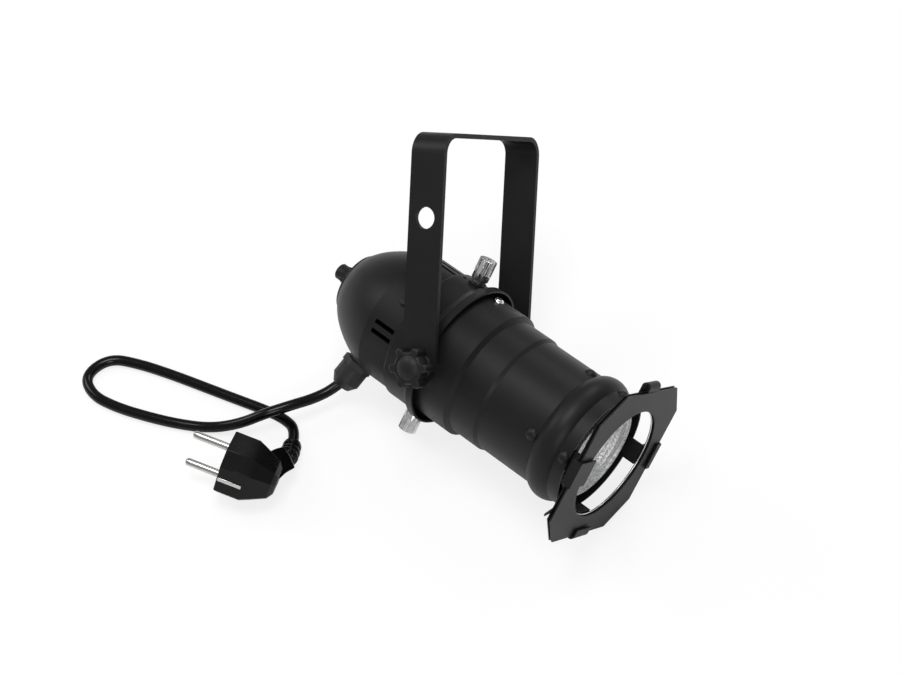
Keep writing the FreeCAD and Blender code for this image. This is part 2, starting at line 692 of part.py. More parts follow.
latch_back = HINGE_X + 1.15
latch_top = frame_half + CURL_LIFT + 1.4
curl_x = latch_back + CURL_R
latch = joined([
    hinge_cylinder(-KNUCKLE_HALF, KNUCKLE_HALF, HINGE_R),
    box(latch_back - 0.6, latch_back + ARM_T, hinge_y, hinge_y + 3,
        -KNUCKLE_HALF, KNUCKLE_HALF),
    arm_solid([
        (latch_back, hinge_y + HINGE_R + 0.4), (latch_back, latch_top),
        (curl_x, latch_top + CURL_R, curl_x + CURL_R, latch_top),
        (curl_x + CURL_R, frame_half + CURL_LIFT),
        (curl_x + CURL_R - ARM_T, frame_half + CURL_LIFT),
        (curl_x + CURL_R - ARM_T, latch_top),
        (curl_x, latch_top + CURL_R - ARM_T, latch_back + ARM_T, latch_top),
        (latch_back + ARM_T, hinge_y + HINGE_R + 0.4)], ARM_WIDTH)])
nodes["gel_latch"] = about_x(
    latch.cut(hinge_cylinder(-10, 10, HINGE_PIN_R + RUNNING)), 90)

rivets = []
for angle in (0, 90, 180, 270):
    for x, surface in zip(RIVET_XS, (TUBE_FRONT_R, NECK_R)):
        rivets.append(pan_head(x, angle, surface, RIVET_R, RIVET_H, RIVET_SHANK_R,
                               arm_in - 0.6))
nodes["arm_rivets"] = Part.makeCompound(rivets)


def frame_leaf(x, thickness):
    h = frame_half
    c = h - FRAME_CORNER
    steps = [(-h, -c), (-h, c), (-c, h), (c, h), (h, c), (h, -c), (c, -h), (-c, -h)]
    leaf = extruded(steps, lambda y, z: V(x, y, z), V(thickness, 0, 0))
    return leaf.cut(cylinder_x(x - 1, x + thickness + 1, FRAME_HOLE_R))


FOLD_WIDTH = 1.2
c = frame_half - FRAME_CORNER
fold = box(REAR_LEAF_X + REAR_LEAF_T, FRONT_LEAF_X, frame_half - FOLD_WIDTH, frame_half, -c, c)
tab = extruded([(-frame_half + 3, -22.0), (-frame_half - 5.6, -23.6),
                (-frame_half - 5.8, -22.4), (-frame_half + 3, -19.0)],
               lambda y, z: V(REAR_LEAF_X, y, z), V(REAR_LEAF_T, 0, 0))
nodes["gel_frame_rear"] = joined([frame_leaf(REAR_LEAF_X, REAR_LEAF_T), fold, tab])
nodes["gel_frame_front"] = frame_leaf(FRONT_LEAF_X, FRONT_LEAF_T)

# ---------------------------------------------------------------- gland
GLAND_HEX_R = 8.4
GLAND_NUT_R = 7.7
CORD_SQUEEZE = 0.05       # the gland and the boot grip the lead this much
cord_bore_r = CORD_R - CORD_SQUEEZE
hex_points = []
across = gland_out.cross(V(1, 0, 0)).normalize()
up_hex = across.cross(gland_out).normalize()
for i in range(7):
    a = math.radians(60 * i)
    hex_points.append(gland_seat + gland_out * 0.4 + across * (GLAND_HEX_R * math.cos(a))
                      + up_hex * (GLAND_HEX_R * math.sin(a)))
HEX_T = 3.6
gland_body = Part.Face(Part.makePolygon(hex_points)).extrude(gland_out * HEX_T)
gland_body = joined([gland_body, along_gland(-9, 2, GLAND_THREAD_R - 0.1)])
gland_body = gland_body.cut(along_gland(-20, 30, cord_bore_r))
inside = turned(mirrored_steps(housing_side(0.0)) + [(COLLAR_FRONT_X, 0), (DISC_EDGE[0], 0)])
gland_body = gland_body.cut(inside.common(along_gland(-2.0, 8, 20)).cut(
    along_gland(-20, 8, GLAND_THREAD_R - 0.1)))
nodes["gland_body"] = gland_body
NUT_START = HEX_T + 0.4
NUT_TAPER = 4.0
nut = joined([
    along_gland(NUT_START, GLAND_LENGTH - NUT_TAPER, GLAND_NUT_R),
    Part.makeCone(GLAND_NUT_R, 5.0, NUT_TAPER,
                  gland_seat + gland_out * (GLAND_LENGTH - NUT_TAPER), gland_out)])
nodes["gland_nut"] = nut.cut(along_gland(-20, 30, cord_bore_r))
locknut = along_gland(-8.5, -5.5, 8.6).cut(along_gland(-20, 30, GLAND_THREAD_R - 0.1))
nodes["gland_locknut"] = locknut


# ---------------------------------------------------------------- laying the light down
# At rest the far clamp knob and the gel frame's lower corner touch the surface, and
# the lead holds the gland's mouth at its own height.
def resting_up():
    up = V(0.04, -0.65, 0.76)
    corner = V(frame_front, frame_half - FRAME_CORNER, -frame_half)
    for _ in range(20):
        flat = V(up.x, 0, up.z).normalize()
        low_lobe = min((V(LOBE_PITCH_R * math.cos(a), 0, LOBE_PITCH_R * math.sin(a))
                        for a in (math.radians(LOBE_ANGLE + 360.0 / LOBE_COUNT * i)
                                  for i in range(LOBE_COUNT))), key=lambda p: p.dot(up))
        knob_point = low_lobe - flat * LOBE_R + V(0, star_end, 0)
        edge = (corner - knob_point).normalize()
        arm = gland_mouth - knob_point
        arm = arm - edge * arm.dot(edge)
        lean = math.asin(GLAND_REST / arm.Length)
        arm.normalize()
        square = edge.cross(arm).normalize()
        if square.z < 0:
            square = -square
        up = square * math.cos(lean) + arm * math.sin(lean)
    return up, knob_point


up, contact = resting_up()
along = (V(1, 0, 0) - up * up.x).normalize()
aside = up.cross(along)
turn = FreeCAD.Matrix(along.x, along.y, along.z, 0, aside.x, aside.y, aside.z, 0,
                      up.x, up.y, up.z, 0, 0, 0, 0, 1)
turn_only = FreeCAD.Placement(turn)
bounds = FreeCAD.BoundBox()
for shape in nodes.values():
    moved = shape.copy()
    moved.Placement = turn_only.multiply(moved.Placement)
    bounds.add(moved.optimalBoundingBox(False, False))
shift = V(-bounds.Center.x, -bounds.Center.y, -bounds.ZMin)
rest = FreeCAD.Placement(shift, turn_only.Rotation)
for name, shape in nodes.items():
    shape.Placement = rest.multiply(shape.Placement)


# ---------------------------------------------------------------- lead and plug
# These are built where they lie: X along the light, Y away from its near side, and
# Z up from the surface.
mouth = rest.multVec(gland_mouth)
out = turn_only.multVec(gland_out)
FLOOR_Z = CORD_R
CROSSING_Z = 13.9
ROUTE = [
    mouth - out * 5.5,
    mouth + out * 6.0,
    V(-61.2, -76.9, 9.2),
    V(-65.6, -87.0, CROSSING_Z),
    V(-72.2, -100.8, CROSSING_Z),
    V(-80.5, -112.0, 5.4),
    V(-92.5, -122.5, FLOOR_Z),
    V(-108.0, -133.0, FLOOR_Z),
    V(-123.0, -141.0, FLOOR_Z),
    V(-138.5, -147.5, FLOOR_Z),
    V(-155.0, -150.5, FLOOR_Z),
    V(-168.5, -139.5, FLOOR_Z),
    V(-166.5, -122.0, FLOOR_Z),
    V(-150.5, -114.5, FLOOR_Z),
    V(-131.0, -110.5, FLOOR_Z),
    V(-112.0, -106.0, FLOOR_Z),
    V(-95.0, -101.2, FLOOR_Z),
    V(-82.0, -96.0, FLOOR_Z),
    V(-70.1, -91.4, FLOOR_Z),
    V(-58.5, -94.5, 3.4),
    V(-53.4, -103.6, 4.6),
]
CORNER_SHARE = 0.45       # how much of the shorter run each bend uses


def lead_tube(points, radius):
    edges = []
    here = points[0]
    bends = []
    for before, corner, after in zip(points, points[1:], points[2:]):
        go_in = (corner - before).normalize()
        go_out = (after - corner).normalize()
        used = CORNER_SHARE * min((corner - before).Length, (after - corner).Length)
        half_turn = go_in.getAngle(go_out) / 2
        bend_r = used / math.tan(half_turn)
        start = corner - go_in * used
        end = corner + go_out * used
        to_middle = (go_out - go_in).normalize()
        middle = corner + to_middle * (bend_r / math.cos(half_turn) - bend_r)
        edges.append(Part.LineSegment(here, start).toShape())
        edges.append(Part.Arc(start, middle, end).toShape())
        here = end
        bends.append(bend_r)
    edges.append(Part.LineSegment(here, points[-1]).toShape())
    path = Part.Wire(edges)
    section = Part.Wire(Part.Circle(points[0], points[1] - points[0], radius).toShape())
    tube = path.makePipeShell([section], True, False)
    print("lead", round(path.Length, 1), "mm long, bends", [round(b, 1) for b in bends],
          "volume", round(tube.Volume, 1), "section x length",
          round(math.pi * radius ** 2 * path.Length, 1))
    return tube


mains_cord = lead_tube(ROUTE, CORD_R)
nodes["mains_cord"] = mains_cord

# The plug lies on its side: its pins one above the other, its cord low.
PLUG_R = 16.0
PLUG_FACE = V(-66.6, -137.2, PLUG_R + 0.1)
PLUG_IN = V(0.958, 0.286, 0).normalize()
PLUG_SIDE = V(0.251, -0.84, 0.481)
PLUG_SIDE = (PLUG_SIDE - PLUG_IN * PLUG_SIDE.dot(PLUG_IN)).normalize()
PLUG_PINS = PLUG_SIDE.cross(PLUG_IN).normalize()
PIN_PITCH = 19.0
PIN_LENGTH = 19.0
PIN_R = 2.4
PLUG_RIM_L = 13.5
PLUG_BODY_L = 28.5
PLUG_BACK_R = 9.0
STRIP_W = 2.6
STRIP_T = 0.8
plug_frame = FreeCAD.Placement(FreeCAD.Matrix(
    PLUG_IN.x, PLUG_PINS.x, PLUG_SIDE.x, PLUG_FACE.x,
    PLUG_IN.y, PLUG_PINS.y, PLUG_SIDE.y, PLUG_FACE.y,
    PLUG_IN.z, PLUG_PINS.z, PLUG_SIDE.z, PLUG_FACE.z, 0, 0, 0, 1))


def in_plug(shape):
    copy = shape.copy()
    copy.Placement = plug_frame.multiply(copy.Placement)
    return copy


def plug_point(along, pins, side):
    return plug_frame.multVec(V(along, pins, side))


plug_body = turned([
    (0, 0), (0, PLUG_R - 0.8), (0.8, PLUG_R), (PLUG_RIM_L, PLUG_R),
    (PLUG_RIM_L + 1.0, PLUG_R - 1.0), (PLUG_BODY_L - 1.5, PLUG_BACK_R),
    (PLUG_BODY_L, PLUG_BACK_R - 1.5), (PLUG_BODY_L, 0)])
for side in (-1, 1):
    plug_body = plug_body.cut(cylinder_x(-1, 3.0, 2.8).translate(V(0, side * 40, 0)))
strips = []
for side in (-1, 1):
    deep = PLUG_R - 1.4
    strip = box(0.6, 16.0, -STRIP_W / 2, STRIP_W / 2, deep, deep + 1.4 + STRIP_T)
    if side < 0:
        strip = box(0.6, 12.5, -STRIP_W / 2, STRIP_W / 2, -deep - 1.4 - STRIP_T * 0.1, -deep)
    strips.append(strip)
pin_solids = []
for side in (-1, 1):
    pin = cylinder_x(-PIN_LENGTH, 4.0, PIN_R)
    tip = [e for e in pin.Edges if len(e.Vertexes) == 1 and e.CenterOfMass.x < 0]
    pin = pin.makeFillet(PIN_R * 0.8, tip)
    pin.translate(V(0, side * PIN_PITCH / 2, 0))
    pin_solids.append(pin)
plug_body = plug_body.cut(pin_solids[0]).cut(pin_solids[1])
plug_body = in_plug(plug_body.cut(strips[0]).cut(strips[1]))
nodes["plug_pins"] = Part.makeCompound([in_plug(p) for p in pin_solids])
nodes["plug_earth_strips"] = Part.makeCompound([in_plug(p) for p in strips])

# The boot runs from the plug's body down to the lead.
boot_end = ROUTE[-1] + (ROUTE[-2] - ROUTE[-1]).normalize() * 1.5
boot_root = plug_point(20.5, 0.0, -5.0)
boot_mid = V(-49.0, -111.0, 7.6)
boot_edges = [Part.Arc(boot_end, boot_mid, boot_root).toShape()]
boot_wire = Part.Wire(boot_edges)
boot_edge = boot_edges[0]
first, last = boot_edge.ParameterRange


def boot_section(share, radius):
    u = first + (last - first) * share
    return Part.Wire(Part.Circle(boot_edge.valueAt(u), boot_edge.tangentAt(u), radius).toShape())


BOOT_R = 4.3
BOOT_ROOT_R = 7.6
sections = [boot_section(0.0, BOOT_R), boot_section(0.35, 5.0), boot_section(0.7, 6.6),
            boot_section(1.0, BOOT_ROOT_R)]
boot = Part.makeLoft(sections, True, False)
groove_out = Part.makeLoft([boot_section(0.08, 5.2), boot_section(0.13, 5.2)], True, True)
groove_in = Part.makeLoft([boot_section(0.07, 4.0), boot_section(0.14, 4.0)], True, True)
groove_2_out = Part.makeLoft([boot_section(0.2, 5.6), boot_section(0.25, 5.6)], True, True)
groove_2_in = Part.makeLoft([boot_section(0.19, 4.2), boot_section(0.26, 4.2)], True, True)
boot = boot.cut(groove_out.cut(groove_in)).cut(groove_2_out.cut(groove_2_in))
boot = boot.cut(plug_body)
boot = max(boot.Solids, key=lambda s: s.Volume)
lead_end_bore = Part.makeCylinder(CORD_R - CORD_SQUEEZE, 14.0,
                                  ROUTE[-1] + (ROUTE[-2] - ROUTE[-1]).normalize() * 8.0,
                                  ROUTE[-1] - ROUTE[-2])
nodes["plug_boot"] = boot.cut(lead_end_bore)
nodes["plug_body"] = plug_body

print("latch pin", tuple(round(v, 2) for v in rest.multVec(V(HINGE_X, 0, hinge_y))))
for name, shape in nodes.items():
    if not shape.isValid():
        print("INVALID", name)
    shape.exportStep(os.path.join("parts", name + ".step"))
    print(name, len(shape.Solids), round(shape.Volume, 1))
print("up", tuple(round(v, 5) for v in up), "bounds", bounds)
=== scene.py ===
"""A small stage spotlight, lying on a pale surface with its lead and plug."""

import json
import math

import bmesh
import bpy
from mathutils import Matrix, Vector


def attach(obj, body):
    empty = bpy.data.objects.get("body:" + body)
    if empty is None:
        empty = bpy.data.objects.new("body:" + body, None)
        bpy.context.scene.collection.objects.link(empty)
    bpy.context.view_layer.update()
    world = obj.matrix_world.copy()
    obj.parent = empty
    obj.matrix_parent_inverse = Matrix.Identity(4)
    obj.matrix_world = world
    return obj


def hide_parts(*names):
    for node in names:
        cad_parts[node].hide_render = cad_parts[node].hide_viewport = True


bl_info = {
    "name": "Small Stage Spotlight",
    "version": (1, 0, 0),
    "blender": (4, 5, 0),
    "location": "View3D > Sidebar > Spotlight",
    "description": "Builds the finish and the fine pieces of a small stage spotlight",
    "category": "Object",
}

MM = 0.001

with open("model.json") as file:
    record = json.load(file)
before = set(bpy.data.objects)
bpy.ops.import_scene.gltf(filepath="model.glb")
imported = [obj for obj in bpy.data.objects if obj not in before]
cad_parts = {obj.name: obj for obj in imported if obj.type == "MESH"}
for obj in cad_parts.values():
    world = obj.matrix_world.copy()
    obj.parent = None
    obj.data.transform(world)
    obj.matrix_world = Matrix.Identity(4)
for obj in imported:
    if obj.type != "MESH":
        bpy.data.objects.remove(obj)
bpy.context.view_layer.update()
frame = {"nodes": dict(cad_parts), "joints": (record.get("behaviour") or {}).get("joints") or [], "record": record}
nodes = frame["nodes"]
joints = {j["name"]: j for j in frame["joints"]}

# The can's own frame: X towards the lamp's face, Y along the yoke's pivots, and Z away
# from the bottom of the can. Its origin is on the pivot axis.
CAN_X = Vector(joints["lamp_focus"]["axis"]).normalized()
CAN_Y = Vector(joints["yoke_tilt"]["axis"]).normalized()
CAN_Z = CAN_X.cross(CAN_Y).normalized()
PIVOT = Vector(joints["yoke_tilt"]["pos_m"])


def basis(x, y, z, origin):
    m = Matrix((x, y, z)).transposed().to_4x4()
    m.translation = origin
    return m


CAN = basis(CAN_X, CAN_Y, CAN_Z, PIVOT) @ Matrix.Scale(MM, 4)


# ------------------------------------------------------------------ shader sockets
class Value:
    """A socket's value, so that shader maths reads as arithmetic."""

    def __init__(self, shader, socket):
        self.shader = shader
        self.socket = socket

    def _maths(self, operation, a, b):
        return self.shader.node("ShaderNodeMath", {"operation": operation}, [a, b])[0]

    def __add__(self, other):
        return self._maths("ADD", self, other)

    def __radd__(self, other):
        return self._maths("ADD", other, self)

    def __sub__(self, other):
        return self._maths("SUBTRACT", self, other)

    def __mul__(self, other):
        return self._maths("MULTIPLY", self, other)


class Finish:
    """A material's nodes: one Principled shader, fed by whatever node() adds."""

    def __init__(self, name, **settings):
        self.material = bpy.data.materials.new(name)
        self.material.use_nodes = True
        self.tree = self.material.node_tree
        self.tree.nodes.clear()
        self.output = self.tree.nodes.new("ShaderNodeOutputMaterial")
        self.shader = self.tree.nodes.new("ShaderNodeBsdfPrincipled")
        self.tree.links.new(self.shader.outputs[0], self.output.inputs["Surface"])
        self.set(**settings)

    def node(self, kind, settings=None, inputs=None):
        made = self.tree.nodes.new(kind)
        for key, value in (settings or {}).items():
            if key == "stops":
                ramp = made.color_ramp
                while len(ramp.elements) < len(value):
                    ramp.elements.new(0.5)
                for element, (place, colour) in zip(ramp.elements, value):
                    element.position = place
                    element.color = colour if isinstance(colour, tuple) else (colour,) * 3 + (1,)
            else:
                setattr(made, key, value)
        pairs = enumerate(inputs) if isinstance(inputs, list) else (inputs or {}).items()
        for key, value in pairs:
            self._feed(made.inputs[key], value)
        return [Value(self, s) for s in made.outputs]

    def _feed(self, socket, value):
        if isinstance(value, Value):
            self.tree.links.new(value.socket, socket)
        else:
            socket.default_value = value

    def set(self, **settings):
        for key, value in settings.items():
            name = key.replace("_", " ").title().replace("Ior", "IOR")
            self._feed(self.shader.inputs[name], value)

    def place(self):
        return self.node("ShaderNodeTexCoord")[3]

    def noise(self, size, detail=3.0, roughness=0.5, stretch=None):
        """Noise whose cells are about size millimetres across."""
        where = self.place()
        if stretch:
            where = self.node("ShaderNodeMapping", {}, {"Vector": where, "Scale": stretch})[0]
        return self.node("ShaderNodeTexNoise", {}, {
            "Vector": where, "Scale": 1000.0 / size, "Detail": detail,
            "Roughness": roughness})[0]

    def ramp(self, value, stops):
        return self.node("ShaderNodeValToRGB", {"stops": stops}, {"Fac": value})[0]

    def bump(self, height, distance, strength):
        """A bump whose full height is distance millimetres."""
        return self.node("ShaderNodeBump", {}, {
            "Height": height, "Distance": distance * MM, "Strength": strength})[0]


def mixed(finish, amount, first, second):
    """One colour turning into another; 6 and 7 are the colour sockets."""
    return finish.node("ShaderNodeMix", {"data_type": "RGBA"}, {
        "Factor": amount, 6: first, 7: second})[2]


def grey(v, tint=0.0):
    """A grey, made bluer by a tint above nought or yellower by one below it."""
    return (v, v, v * (1 + tint), 1.0)


def make_finishes(look):
    """Every finish of the spotlight, by name. Noise sizes are in millimetres."""
    made = {}

    coat = Finish("black_enamel", specular_ior_level=0.18)
    pebble = coat.noise(0.55, 2.0, 0.55)
    drift = coat.noise(22.0, 2.0, 0.5)
    dust = coat.ramp(coat.noise(1.3, 4.0, 0.7), [(0.62, 0.0), (0.80, 1.0)])
    base = mixed(coat, drift, grey(look.enamel_shade * 0.85, 0.04),
                 grey(look.enamel_shade * 1.2, 0.06))
    coat.set(base_color=mixed(coat, dust * 0.10, base, grey(0.06)),
             roughness=look.enamel_roughness + drift * 0.08 - pebble * 0.04,
             normal=coat.bump(pebble, 0.05, 0.22))
    made["black_enamel"] = coat

    rivet = Finish("black_rivets", specular_ior_level=0.2)
    fleck = rivet.noise(0.8, 3.0, 0.6)
    rivet.set(base_color=mixed(rivet, fleck, grey(0.006), grey(0.012)),
              roughness=0.34 + fleck * 0.12, normal=rivet.bump(fleck, 0.05, 0.2))
    made["black_rivets"] = rivet

    chrome = Finish("bright_chrome", metallic=1.0)
    haze = chrome.noise(2.5, 4.0, 0.6)
    chrome.set(base_color=mixed(chrome, haze, grey(0.74, 0.01), grey(0.86, 0.02)),
               roughness=0.13 + haze * 0.10)
    made["bright_chrome"] = chrome

    zinc = Finish("zinc_steel", metallic=1.0)
    spangle = zinc.noise(1.2, 3.0, 0.6)
    brushed = zinc.noise(0.5, 2.0, 0.6, (1.0, 1.0, 9.0))
    zinc.set(base_color=mixed(zinc, spangle, grey(0.50, 0.03), grey(0.66, 0.05)),
             roughness=0.28 + brushed * 0.16, normal=zinc.bump(brushed, 0.02, 0.25))
    made["zinc_steel"] = zinc

    moulding = Finish("black_moulding", specular_ior_level=0.26)
    spark = moulding.noise(0.35, 2.0, 0.6)
    flow = moulding.noise(9.0, 2.0, 0.5)
    moulding.set(base_color=mixed(moulding, flow, grey(0.005), grey(0.010)),
                 roughness=0.38 + flow * 0.10 + spark * 0.05,
                 normal=moulding.bump(spark, 0.04, 0.18))
    made["black_moulding"] = moulding

    nylon = Finish("black_nylon", specular_ior_level=0.36)
    spark = nylon.noise(0.5, 2.0, 0.6)
    nylon.set(base_color=mixed(nylon, spark, grey(0.008), grey(0.014)),
              roughness=0.42 + spark * 0.12, normal=nylon.bump(spark, 0.04, 0.2))
    made["black_nylon"] = nylon

    rubber = Finish("lead_rubber", specular_ior_level=0.22)
    grain = rubber.noise(0.7, 3.0, 0.6)
    scuff = rubber.ramp(rubber.noise(6.0, 4.0, 0.65), [(0.55, 0.0), (0.75, 1.0)])
    rubber.set(base_color=mixed(rubber, scuff * 0.35, grey(0.0025), grey(0.008)),
               roughness=0.14 + grain * 0.06 + scuff * 0.08,
               normal=rubber.bump(grain, 0.02, 0.10))
    made["lead_rubber"] = rubber

    jacket = Finish("plug_black", specular_ior_level=0.14)
    grain = jacket.noise(0.45, 3.0, 0.6)
    shine = jacket.noise(11.0, 2.0, 0.5)
    jacket.set(base_color=mixed(jacket, shine, grey(0.0025), grey(0.006)),
               roughness=0.20 + shine * 0.08 + grain * 0.05,
               normal=jacket.bump(grain, 0.03, 0.15))
    made["plug_black"] = jacket

    brass = Finish("bare_brass", metallic=1.0)
    tarnish = brass.noise(3.0, 4.0, 0.6)
    brass.set(base_color=mixed(brass, tarnish, (0.72, 0.52, 0.22, 1), (0.56, 0.40, 0.18, 1)),
              roughness=0.24 + tarnish * 0.2)
    made["bare_brass"] = brass

    nickel = Finish("nickel_pin", metallic=1.0)
    drawn = nickel.noise(0.8, 3.0, 0.6, (0.2, 1.0, 1.0))
    nickel.set(base_color=mixed(nickel, drawn, grey(0.42, -0.02), grey(0.56, -0.03)),
               roughness=0.16 + drawn * 0.14)
    made["nickel_pin"] = nickel

    ceramic = Finish("white_ceramic")
    glaze = ceramic.noise(1.6, 4.0, 0.6)
    ceramic.set(base_color=mixed(ceramic, glaze, (0.72, 0.70, 0.65, 1), (0.80, 0.79, 0.75, 1)),
                roughness=0.38 + glaze * 0.16, normal=ceramic.bump(glaze, 0.05, 0.2))
    made["white_ceramic"] = ceramic

    mirror = Finish("lamp_mirror", metallic=1.0)
    film = mirror.noise(5.0, 3.0, 0.6)
    stipple = mirror.ramp(mirror.noise(1.5, 4.0, 0.75), [(0.36, 0.0), (0.60, 1.0)])
    mirror.set(base_color=mixed(mirror, stipple, grey(0.50, 0.01), grey(0.96, 0.01)),
               roughness=0.32 + film * 0.12, normal=mirror.bump(stipple, 0.16, 0.5))
    made["lamp_mirror"] = mirror

    glass = Finish("lamp_front_glass", ior=1.5)
    ripple = glass.noise(4.0, 2.0, 0.5)
    glass.set(base_color=mixed(glass, ripple, (0.95, 0.97, 0.97, 1), (0.99, 1.0, 1.0, 1)),
              roughness=0.02 + ripple * 0.04, alpha=0.06 + ripple * 0.06,
              normal=glass.bump(ripple, 0.08, 0.25))
    made["lamp_front_glass"] = glass

    sleeve = Finish("lead_sleeve")
    braid = sleeve.node(
        "ShaderNodeTexWave", {"wave_type": "BANDS", "bands_direction": "DIAGONAL"},
        {"Vector": sleeve.place(), "Scale": 420.0, "Distortion": 1.0})[1]
    sleeve.set(base_color=mixed(sleeve, braid, (0.52, 0.50, 0.45, 1), (0.74, 0.72, 0.67, 1)),
               roughness=0.8 + braid * 0.1, normal=sleeve.bump(braid, 0.1, 0.5))
    made["lead_sleeve"] = sleeve
    return {name: finish.material for name, finish in made.items()}


materials = {}


# ------------------------------------------------------------------ mesh helpers
WELD = 1e-6


def cleaned(mesh, weld):
    """Join a mesh's doubled points if asked, and turn its faces outward."""
    b = bmesh.new()
    b.from_mesh(mesh)
    if weld:
        bmesh.ops.remove_doubles(b, verts=b.verts, dist=WELD)
    bmesh.ops.recalc_face_normals(b, faces=b.faces)
    b.to_mesh(mesh)
    b.free()


def shown(name, mesh):
    made = bpy.data.objects.new(name, mesh)
    bpy.context.scene.collection.objects.link(made)
    return made


def piece(name, verts, faces, material, body, smooth=40, place=None):
    """A mesh whose points are given in place (the can's frame by default)."""
    mesh = bpy.data.meshes.new(name)
    where = CAN if place is None else place
    mesh.from_pydata([where @ Vector(v) for v in verts], [], faces)
    cleaned(mesh, True)
    made = shown(name, mesh)
    finish_piece(made, material, body, smooth)
    return made


def finish_piece(made, material, body, smooth=40):
    """Paint a piece, smooth it below an angle, and put it on its body."""
    made.data.materials.clear()
    made.data.materials.append(materials[material])
    if smooth is None:
        made.data.shade_flat()
    else:
        made.data.shade_smooth()
        made.data.set_sharp_from_angle(angle=math.radians(smooth))
    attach(made, body)


def revolved(profile, around=96, twist=None):
    """Points and faces of a profile of (along, radius) turned about X. A radius of 0
    closes the end with one point."""
    verts, faces, rings = [], [], []
    for i, (x, r) in enumerate(profile):
        if r == 0:
            verts.append((x, 0, 0))
            rings.append([len(verts) - 1] * around)
            continue
        ring = []
        for k in range(around):
            a = 2 * math.pi * (k + (twist(i) if twist else 0)) / around
            verts.append((x, r * math.cos(a), r * math.sin(a)))
            ring.append(len(verts) - 1)
        rings.append(ring)
    for first, second in zip(rings, rings[1:]):
        for k in range(around):
            n = (k + 1) % around
            face = []
            for v in (first[k], first[n], second[n], second[k]):
                if v not in face:
                    face.append(v)
            if len(face) > 2:
                faces.append(face)
    return verts, faces


def frame_on(axis, along):
    """A placement whose X lies along axis, with its origin at a point of the can."""
    x = Vector(axis).normalized()
    other = CAN_X if abs(x.dot(CAN_X)) < 0.9 else CAN_Z
    y = other.cross(x).normalized()
    return basis(x, y, x.cross(y), CAN @ Vector(along)) @ Matrix.Scale(MM, 4)


# ------------------------------------------------------------------ repeats by nodes
def real_mesh(source, tree, settings):
    """The plain mesh that a tree makes of an object, which is then removed."""
    modifier = source.modifiers.new("Repeat", "NODES")
    modifier.node_group = tree
    for key, value in settings.items():
        modifier[input_id(tree, key)] = value
    graph = bpy.context.evaluated_depsgraph_get()
    graph.update()
    made = bpy.data.meshes.new_from_object(source.evaluated_get(graph))
    bpy.data.objects.remove(source)
    return made


def input_id(tree, name):
    return next(s.identifier for s in tree.interface.items_tree
                if s.item_type == "SOCKET" and s.in_out == "INPUT" and s.name == name)


def knurl_tree():
    """Ribs round an axis: a four-sided bar, repeated on a ring of points about Z."""
    tree = bpy.data.node_groups.new("ribs_round_axis", "GeometryNodeTree")
    face = tree.interface
    face.new_socket("Geometry", in_out="INPUT", socket_type="NodeSocketGeometry")
    face.new_socket("Count", in_out="INPUT", socket_type="NodeSocketInt")
    for name in ("Radius", "Length", "Rib Width", "Rib Height", "Twist"):
        face.new_socket(name, in_out="INPUT", socket_type="NodeSocketFloat")
    face.new_socket("Finish", in_out="INPUT", socket_type="NodeSocketMaterial")
    face.new_socket("Geometry", in_out="OUTPUT", socket_type="NodeSocketGeometry")
    new = tree.nodes.new
    link = tree.links.new
    given = new("NodeGroupInput").outputs
    result = new("NodeGroupOutput")

    ring = new("GeometryNodeMeshCircle")
    link(given["Count"], ring.inputs["Vertices"])
    link(given["Radius"], ring.inputs["Radius"])

    rib = new("GeometryNodeMeshCone")
    rib.inputs["Vertices"].default_value = 4
    link(given["Rib Width"], rib.inputs["Radius Bottom"])
    link(given["Rib Width"], rib.inputs["Radius Top"])
    link(given["Length"], rib.inputs["Depth"])
    shape = new("GeometryNodeTransform")
    link(rib.outputs["Mesh"], shape.inputs["Geometry"])
    squeeze = new("ShaderNodeCombineXYZ")
    squeeze.inputs[1].default_value = 1.0
    squeeze.inputs[2].default_value = 1.0
    link(given["Rib Height"], squeeze.inputs[0])
    link(squeeze.outputs[0], shape.inputs["Scale"])
    lean = new("ShaderNodeCombineXYZ")
    link(given["Twist"], lean.inputs[0])
    link(lean.outputs[0], shape.inputs["Rotation"])

    turn = new("FunctionNodeAlignRotationToVector")
    turn.axis = "X"
    turn.pivot_axis = "Z"
    place = new("GeometryNodeInputPosition")
    link(place.outputs[0], turn.inputs["Vector"])
    spread = new("GeometryNodeInstanceOnPoints")
    link(ring.outputs["Mesh"], spread.inputs["Points"])
    link(shape.outputs["Geometry"], spread.inputs["Instance"])
    link(turn.outputs["Rotation"], spread.inputs["Rotation"])
    real = new("GeometryNodeRealizeInstances")
    link(spread.outputs["Instances"], real.inputs["Geometry"])
    both = new("GeometryNodeJoinGeometry")
    link(real.outputs["Geometry"], both.inputs["Geometry"])
    link(given["Geometry"], both.inputs["Geometry"])
    paint = new("GeometryNodeSetMaterial")
    link(both.outputs["Geometry"], paint.inputs["Geometry"])
    link(given["Finish"], paint.inputs["Material"])
    link(paint.outputs["Geometry"], result.inputs["Geometry"])
    return tree


def ribbed(name, core, settings, place, material, body, smooth=35):
    """A turned core with ribs round it, made by nodes, then placed on the light."""
    verts, faces = core
    mesh = bpy.data.meshes.new(name + "_core")
    # The tree works about Z, so the core's X becomes Z.
    mesh.from_pydata([(y, z, x) for x, y, z in verts], [], faces)
    tree = bpy.data.node_groups.get("ribs_round_axis") or knurl_tree()
    made_mesh = real_mesh(shown(name + "_source", mesh), tree,
                          {**settings, "Finish": materials[material]})
    turn = Matrix(((0, 0, 1, 0), (1, 0, 0, 0), (0, 1, 0, 0), (0, 0, 0, 1)))
    made_mesh.transform(place @ turn)
    cleaned(made_mesh, False)
    made = shown(name, made_mesh)
    finish_piece(made, material, body, smooth)
    return made


